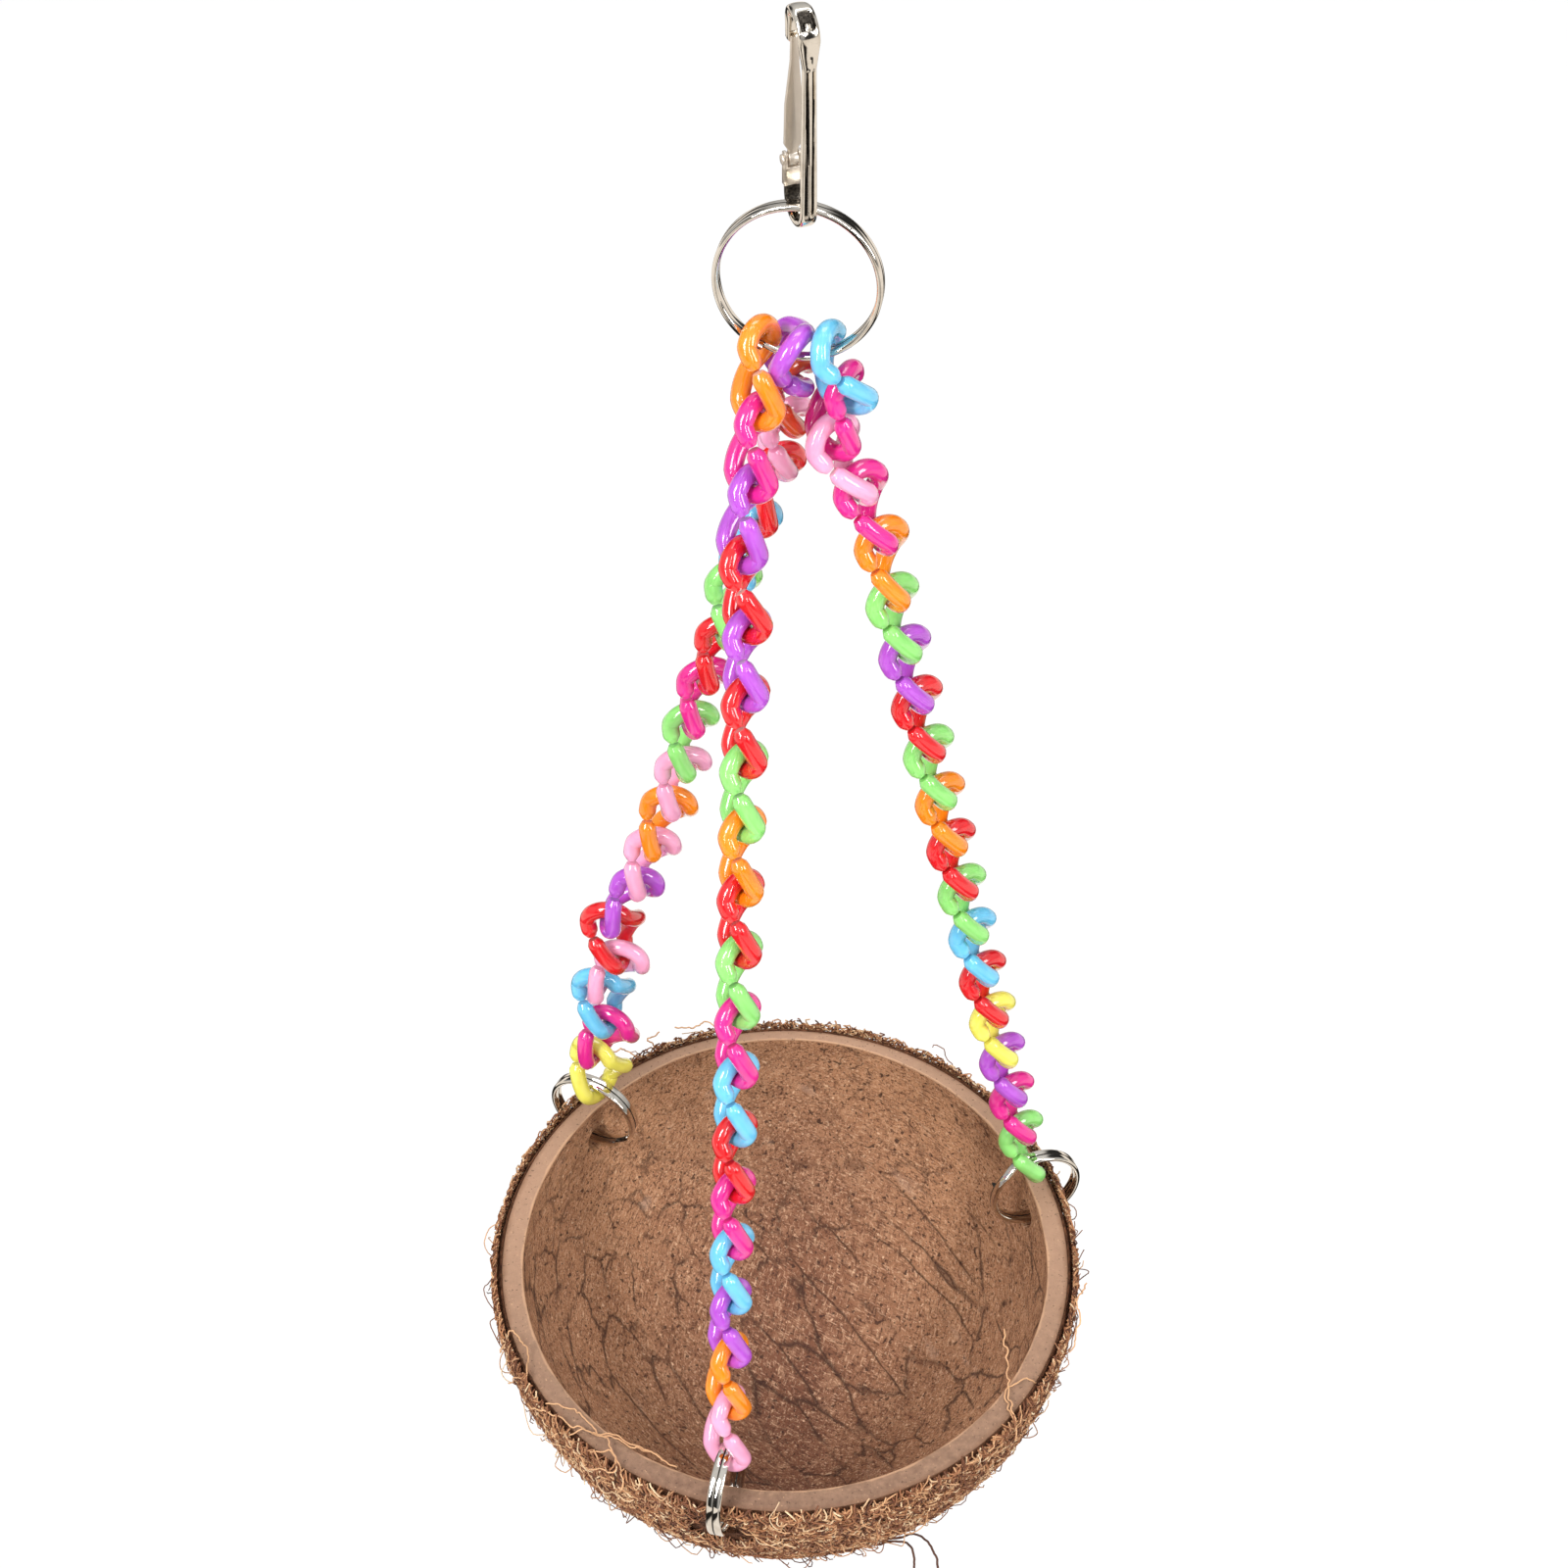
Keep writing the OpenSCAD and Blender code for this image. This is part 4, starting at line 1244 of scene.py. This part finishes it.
def chance(low, high, seed, kind="FLOAT"):
    """A random number for each element, with a seed of its own."""
    inputs = {"ID": add(tree, "GeometryNodeInputIndex").outputs[0]}
    node = add(tree, "FunctionNodeRandomValue", inputs, data_type=kind)
    offset = calc(tree, given["Seed"], float(seed), "ADD")
    tree.links.new(offset, node.inputs["Seed"])
    pick = {"FLOAT": (2, 3, 1), "FLOAT_VECTOR": (0, 1, 0)}[kind]
    node.inputs[pick[0]].default_value = low
    node.inputs[pick[1]].default_value = high
    return node.outputs[pick[2]]


def keep(geometry, name, value, kind="FLOAT", domain="INSTANCE"):
    """A value is kept on the geometry under a name."""
    settings = {"data_type": kind, "domain": domain}
    inputs = {0: geometry, "Name": name, "Value": value}
    return add(tree, "GeometryNodeStoreNamedAttribute", inputs, **settings).outputs[0]


def kept(name, kind="FLOAT"):
    """The value that was kept under a name."""
    return add(tree, "GeometryNodeInputNamedAttribute", {"Name": name}, data_type=kind).outputs[0]


# %% [markdown]
# First the lines: points on the ground, one straight line for each, and the turn and the length
# that chance gives it.

# %% Scatter the lines
TURN_EITHER_WAY = 1.9  # in radians
SHORTEST, LONGEST = 0.5, 1.35  # shares of the length
DRIFT = 90  # each fibre reads the noise up to so many millimetres away, so no two bend alike
scattered = {0: given["Geometry"], "Density": given["Density"], "Seed": given["Seed"]}
scattered = add(tree, "GeometryNodeDistributePointsOnFaces", scattered).outputs
ends = [calc(tree, calc(tree, given["Length"], 0.5), side) for side in (-1.0, 1.0)]
ends = [add(tree, "ShaderNodeCombineXYZ", {"X": end}).outputs[0] for end in ends]
line = {"Start": ends[0], "End": ends[1]}
line = add(tree, "GeometryNodeCurvePrimitiveLine", line).outputs[0]
line = add(tree, "GeometryNodeResampleCurve", {0: line, "Count": given["Points"]}).outputs[0]
place_on_line = add(tree, "GeometryNodeSplineParameter").outputs["Factor"]
line = keep(line, "along", place_on_line, domain="POINT")
spin = chance(-TURN_EITHER_WAY, TURN_EITHER_WAY, 11)
spin = {0: scattered["Rotation"], 1: add(tree, "ShaderNodeCombineXYZ", {"Z": spin}).outputs[0]}
turned = add(tree, "FunctionNodeRotateRotation", spin, rotation_space="LOCAL").outputs[0]
fibres = {0: scattered["Points"], "Instance": line, "Rotation": turned}
fibres["Scale"] = chance(SHORTEST, LONGEST, 23)
fibres = add(tree, "GeometryNodeInstanceOnPoints", fibres).outputs[0]
fibres = keep(fibres, "tone", chance(0.0, 1.0, 37))
drift = chance((-DRIFT,) * 3, (DRIFT,) * 3, 53, "FLOAT_VECTOR")
fibres = keep(fibres, "drift", drift, "FLOAT_VECTOR")
fibres = add(tree, "GeometryNodeRealizeInstances", {0: fibres}).outputs[0]

# %% [markdown]
# Then the bends: noise moves the points of each line, and each point goes back to its height
# over the ball. The same noise makes some arches lower than others.

# %% Bend the lines onto the ball
here = add(tree, "GeometryNodeInputPosition").outputs[0]
scaled = calc_place(tree, calc_place(tree, here, 1 / MM, "SCALE"), kept("drift", "FLOAT_VECTOR"))
waves = {"Vector": scaled, "Scale": given["Wave"], "Detail": 1.5}
waves = add(tree, "ShaderNodeTexNoise", waves).outputs["Color"]
waves = calc_place(tree, waves, [0.5] * 3, "SUBTRACT")
waves = calc_place(tree, waves, given["Bend"], "SCALE")
arm = calc_place(tree, calc_place(tree, here, waves), given["Middle"], "SUBTRACT")
way = add(tree, "ShaderNodeVectorMath", {0: arm}, operation="NORMALIZE").outputs[0]
arch = calc(tree, calc(tree, kept("along"), math.pi), given["Peak"])
arch = calc(tree, calc(tree, arch, how="SINE"), given["Lift"])
lumps = {"Vector": scaled, "Scale": given["Wave"], "Detail": 0.0}
lumps = add(tree, "ShaderNodeTexNoise", lumps).outputs[0]
over = calc(tree, calc(tree, arch, lumps), given["Ball"], "ADD")
spot = calc_place(tree, calc_place(tree, way, over, "SCALE"), given["Middle"])
fibres = add(tree, "GeometryNodeSetPosition", {0: fibres, "Position": spot}).outputs[0]
end_tree(tree, fibres, circle(tree, 3, given["Thickness"]), given["Material"])
fibre_tree = tree
print("the fibre tree has", len(tree.nodes), "nodes")

# %% [markdown]
# One piece may hold about 200,000 triangles, so the outside is cut into sectors, and
# each sector grows fibres of its own. They are kept clear of the holes by leaving out the
# faces near them. Blender lists the faces of its ball in another order on each run, and points
# are scattered face by face. So the faces are sorted, and a fixed seed gives the same fibres.


# %% A patch of the outside
GROUND_R = BOWL_R - 0.4 * MM
GROUND_GRID = {"u_segments": 96, "v_segments": 48}
CLEAR_OF_HOLES = 7 * MM


def from_lowest(face):
    """The corners of a face in the same turn, from the lowest number on."""
    start = face.index(min(face))
    return face[start:] + face[:start]


def patch(name, top, first, last):
    """The bowl's outside below a height in millimetres, from one angle to another."""
    work = bmesh.new()
    bmesh.ops.create_uvsphere(work, radius=GROUND_R, **GROUND_GRID)
    hole = Vector((HOLE_OUT, 0, -HOLE_DROP))
    holes = [Matrix.Rotation(math.radians(t), 3, "Z") @ hole for t in HOLE_TURNS]
    gone = []
    for face in work.faces:
        c = face.calc_center_median()
        angle = math.degrees(math.atan2(c.y, c.x)) % 360
        near_hole = min((c - h).length for h in holes) < CLEAR_OF_HOLES
        if near_hole or not first <= angle < last or c.z / MM >= top:
            gone.append(face)
    bmesh.ops.delete(work, geom=gone, context="FACES")
    bmesh.ops.transform(work, matrix=bowl_place, verts=work.verts)
    work.verts.index_update()
    corners = [tuple(v.co) for v in work.verts]
    faces = sorted(from_lowest([v.index for v in face.verts]) for face in work.faces)
    work.free()
    mesh = bpy.data.meshes.new(name)
    mesh.from_pydata(corners, [], faces)
    return collect(name, mesh)


# %% [markdown]
# Three kinds grow on these patches: fibres that lie in the mat, bristles that stand off it, and
# longer strands that hang loose. They differ only in their values.

# %% Grow the fibres
SECTORS = 8
ROOT_R = BOWL_R - 0.6 * MM


def grow(name, top, first=0, last=360, **values):
    """Fibres on a patch become one piece that goes with the bowl."""
    ground = patch(name, top, first, last)
    common = {"ball": ROOT_R, "middle": bowl_middle, "material": fibre}
    mesh = run_tree(fibre_tree, ground, name, **common, **values)
    bpy.data.objects.remove(ground)
    piece = collect(name, mesh)
    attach(piece, "bowl")
    print(name, len(mesh.polygons), "faces")


for s in range(SECTORS):
    grow(
        f"coir_fibres_{s + 1}",
        top=-1.6,
        first=360 / SECTORS * s,
        last=360 / SECTORS * (s + 1),
        density=2.1e6,
        length=4.2 * MM,
        thickness=0.19 * MM,
        lift=1.6 * MM,
        bend=3.6 * MM,
        wave=0.45,
        peak=1.0,
        points=6,
        seed=s + 1,
    )
grow(
    "coir_bristles",
    top=-1.0,
    density=5e4,
    length=5.0 * MM,
    thickness=0.12 * MM,
    lift=3.2 * MM,
    bend=3.0 * MM,
    wave=0.35,
    peak=0.5,
    points=6,
    seed=71,
)
grow(
    "coir_loose_strands",
    top=-1.2,
    density=1.5e4,
    length=9 * MM,
    thickness=0.13 * MM,
    lift=5 * MM,
    bend=7 * MM,
    wave=0.2,
    peak=1.0,
    points=12,
    seed=91,
)

# %% [markdown]
# A few long strands have come loose. Pale curls lie over the rim at the lower left and at the
# right, and two dark strands hang under the front. They are few and each has its own place,
# so each is a short row of points in the bowl: an angle round it, a distance and a height, in
# degrees and millimetres. The distance is from the bowl's axis at the rim, and from its middle
# far below the rim.

# %% The rows of the strands
STRANDS = (
    ((212, 59, -4), (218, 58.5, 0.8), (226, 55.5, 1.0), (234, 52.5, 0.8), (243, 51, -0.5)),
    ((221, 60, -3), (225, 57, 0.9), (231, 53, 1.1), (238, 51.5, 0.6), (246, 52.5, 0.7)),
    ((216, 58, 0.5), (221, 54, 1.2), (229, 54.5, 1.4), (236, 57, 1.0), (239, 60, -1.5)),
    ((228, 59.5, -2), (232, 60, -1), (236, 58, 1), (233, 56, 1.2), (230, 58.5, 0.8)),
    ((205, 60, -5), (208, 58, 0.8), (203, 55, 1.2), (198, 57, 1.0), (200, 60, -3)),
    ((318, 60, -3), (321, 57, 1.0), (326, 52, 1.5), (333, 49, 1.0), (338, 47, 1.5)),
    ((331, 60, -4), (329, 56, 1.0), (325, 53, 1.2), (322, 55, 0.8), (319, 59, -1)),
    ((340, 60, -3), (344, 60.5, 1), (350, 59, 1.4), (355, 60.5, -1)),
    ((103, 58.5, -1), (106, 60, 1.5), (109, 58.5, 3.4), (113, 60, 2)),
    ((117, 58.5, -1), (119, 60, 2.5), (116, 59, 4.6)),
    ((122, 58.5, -1), (124, 61, 1.8), (128, 60, 3.8), (131, 61.5, 3)),
)
DARK_STRANDS = (
    (
        (288, 57, -28),
        (295, 59.5, -31),
        (300, 60.5, -31),
        (302, 64, -33),
        (302, 67, -35),
        (301, 70, -37),
    ),
    (
        (284, 57, -28),
        (291, 59.5, -32),
        (295, 60, -31),
        (298, 62, -33),
        (298, 65, -35),
        (297, 68, -37),
    ),
)
FAR_BELOW = -10
print(len(STRANDS), "pale strands and", len(DARK_STRANDS), "dark ones")

# %% [markdown]
# The rows keep a tone for their colour. The tree smooths each row, adds a waver and gives it
# thickness.

# %% Lay the strands
WAVER_SCALE = 0.28 / MM
STRAND_POINTS = 90
PALE_TONE, DARK_TONE = 0.85, 0.0
sockets = {
    "Thickness": "NodeSocketFloat",
    "Waver": "NodeSocketFloat",
    "Points": "NodeSocketInt",
    "Material": "NodeSocketMaterial",
}
tree, given = new_tree("strands along rows of points", sockets)
row = add(tree, "GeometryNodeMeshToCurve", {0: given["Geometry"]}).outputs[0]
row = add(tree, "GeometryNodeCurveSplineType", {0: row}, spline_type="CATMULL_ROM").outputs[0]
row = add(tree, "GeometryNodeResampleCurve", {0: row, "Count": given["Points"]}).outputs[0]
here = add(tree, "GeometryNodeInputPosition").outputs[0]
waver = {"Vector": here, "Scale": WAVER_SCALE, "Detail": 2.0}
waver = add(tree, "ShaderNodeTexNoise", waver).outputs["Color"]
waver = calc_place(tree, waver, [0.5] * 3, "SUBTRACT")
waver = calc_place(tree, waver, given["Waver"], "SCALE")
row = add(tree, "GeometryNodeSetPosition", {0: row, "Offset": waver}).outputs[0]
end_tree(tree, row, circle(tree, 6, given["Thickness"]), given["Material"])
strand_tree = tree


def lay(name, strands, tone, thickness, waver):
    """Rows of points in the bowl become one piece of strands with one tone."""
    places, links = [], []
    for strand in strands:
        for number, (angle, away, height) in enumerate(strand):
            if number:
                links.append((len(places) - 1, len(places)))
            across = math.sqrt(away**2 - height**2) if height < FAR_BELOW else away
            a = math.radians(angle)
            spot = Vector((across * math.cos(a), across * math.sin(a), height)) * MM
            places.append(tuple(bowl_place @ spot))
    rows = bpy.data.meshes.new("rows")
    rows.from_pydata(places, links, [])
    rows.attributes.new("tone", "FLOAT", "POINT").data.foreach_set("value", [tone] * len(places))
    rows = collect("rows", rows)
    values = {"thickness": thickness, "waver": waver, "points": STRAND_POINTS, "material": fibre}
    piece = collect(name, run_tree(strand_tree, rows, name, **values))
    bpy.data.objects.remove(rows)
    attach(piece, "bowl")
    print(name, len(piece.data.polygons), "faces")


lay("coir_rim_strands", STRANDS, PALE_TONE, 0.16 * MM, 3.2 * MM)
lay("coir_dark_strands", DARK_STRANDS, DARK_TONE, 0.24 * MM, 1.5 * MM)

# %% [markdown]
# ## The room
# The picture has a plain white ground, which lies a hand's breadth under the bowl. It keeps some
# of the swing's shadow. Bright nickel is only as good as what it mirrors, so the floor has painted
# reflections: glossy rays see it glow white, with two dark cards painted into it left and right
# of the swing, where black cards would lie in a studio.

# %% The floor
FLOOR_DROP = 180 * MM
FLOOR_HALF = 6.0
FLOOR_Z = cad_low[2] - FLOOR_DROP
OWN_WHITE = 0.85  # how much of the camera's white is light of the floor's own
PAINTED_CARD_INNER, PAINTED_CARD_OUTER = (150, 200), (460, 400)  # where a painted card fades in and out, in millimetres
PAINTED_CARD_GLOW, FLOOR_GLOW = 0.02, 0.95
floor_mesh = bpy.data.meshes.new("floor")
corners = [(-1, -1), (1, -1), (1, 1), (-1, 1)]
corners = [(x * FLOOR_HALF, y * FLOOR_HALF, FLOOR_Z) for x, y in corners]
floor_mesh.from_pydata(corners, [], [(0, 1, 2, 3)])
floor = collect("floor", floor_mesh)
white, tree, shader, place = new_finish("white paper ground")
shader.inputs["Base Color"].default_value = light("#F6F6F6")
shader.inputs["Roughness"].default_value = 0.9
ray = add(tree, "ShaderNodeLightPath").outputs
seen = calc(tree, ray["Is Camera Ray"], ray["Is Transmission Ray"], "MAXIMUM")
glow = add(tree, "ShaderNodeEmission", {"Color": light("#FFFFFF"), "Strength": 1.0})
mixed = {0: calc(tree, seen, OWN_WHITE), 1: shader.outputs[0], 2: glow.outputs[0]}
mixed = add(tree, "ShaderNodeMixShader", mixed)
# Painted reflections: glossy rays see the floor glow, with a dark card painted into it at each side.
sideways = add(tree, "ShaderNodeSeparateXYZ", {0: place}).outputs["X"]
sideways = calc(tree, sideways, how="ABSOLUTE")
painted_card = calc(tree, ramp(tree, sideways, *PAINTED_CARD_INNER), ramp(tree, sideways, *PAINTED_CARD_OUTER))
glow = {"Color": light("#FFF7EE"), "Strength": ramp(tree, painted_card, 0, 1, FLOOR_GLOW, PAINTED_CARD_GLOW)}
glow = add(tree, "ShaderNodeEmission", glow)
mixed = {0: ray["Is Glossy Ray"], 1: mixed.outputs[0], 2: glow.outputs[0]}
mixed = add(tree, "ShaderNodeMixShader", mixed)
tree.links.new(mixed.outputs[0], tree.nodes["Material Output"].inputs["Surface"])
floor_mesh.materials.append(white)
floor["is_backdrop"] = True
print("floor at", round(FLOOR_Z / MM), "mm")

# %% [markdown]
# The world gives a soft light from all round, with a dark side left and right that the metal
# mirrors. The camera itself sees only white behind the swing, from any side.

# %% The world
WORLD_LEVEL = 0.7
DARK_SIDE = 0.06
DARK_INNER, DARK_OUTER = (0.3, 0.42), (0.8, 0.66)  # where a dark side fades in and out
DARK_TOP = (0.75, 0.55)
BELOW_LEVEL, BELOW_TO_ABOVE = 0.45, (-0.1, 0.7)
world = bpy.data.worlds.new("studio")
world.use_nodes = True
bpy.context.scene.world = world
tree = world.node_tree
back = tree.nodes["Background"]
direction = add(tree, "ShaderNodeTexCoord").outputs["Generated"]
parts = add(tree, "ShaderNodeSeparateXYZ", {0: direction}).outputs
sideways = calc(tree, parts["X"], how="ABSOLUTE")
flag = calc(tree, ramp(tree, sideways, *DARK_INNER), ramp(tree, sideways, *DARK_OUTER))
flag = calc(tree, flag, ramp(tree, parts["Z"], *DARK_TOP))
level = ramp(tree, flag, 0, 1, 1.0, DARK_SIDE)
level = calc(tree, level, ramp(tree, parts["Z"], *BELOW_TO_ABOVE, BELOW_LEVEL, 1.0))
tree.links.new(level, back.inputs["Color"])
back.inputs["Strength"].default_value = WORLD_LEVEL
blank = add(tree, "ShaderNodeBackground", {"Color": light("#FFFFFF"), "Strength": 1.0})
seen = add(tree, "ShaderNodeLightPath").outputs["Is Camera Ray"]
both = add(tree, "ShaderNodeMixShader", {0: seen, 1: back.outputs[0], 2: blank.outputs[0]})
tree.links.new(both.outputs[0], tree.nodes["World Output"].inputs["Surface"])
print("the world's level:", WORLD_LEVEL)

# %% [markdown]
# Big panels light the swing as softboxes would: a key from the left, a weaker fill from the
# right and one from above. Two narrow strips draw thin highlights on the plastic and the wire.

# %% The lamps
AIM = Vector((0, 0, -0.2))
# For each panel: its place, its two sizes and its power in watts.
PANELS = {
    "key panel": ((-0.9, -0.9, 1.1), (0.4, 0.8), 19),
    "fill panel": ((1.2, -0.7, 0.5), (0.35, 0.9), 10),
    "top panel": ((0.1, 0.5, 1.3), (0.9, 0.9), 9),
    "left strip": ((-0.55, -0.75, 0.45), (0.04, 0.8), 4.5),
    "right strip": ((0.35, -0.85, 0.55), (0.04, 0.8), 4.0),
}
for name, (place, (width, height), power) in PANELS.items():
    lamp = bpy.data.lights.new(name, "AREA")
    lamp.shape = "RECTANGLE"
    lamp.size, lamp.size_y = width, height
    lamp.energy = power
    box = collect(name, lamp)
    box.location = place
    box.rotation_euler = (AIM - Vector(place)).to_track_quat("-Z", "Y").to_euler()
print(len(PANELS), "panels")

# %% [markdown]
# ## Sizes and the end
# The dressed swing should be as large as its model, so the script prints how much its box grew.

# %% Print how much the box grew
new_low, new_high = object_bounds()
grown = [(b - a) / MM for a, b in zip([*cad_low, *cad_high], [*new_low, *new_high])]
print("the box grew by", [round(g, 1) for g in grown], "mm")
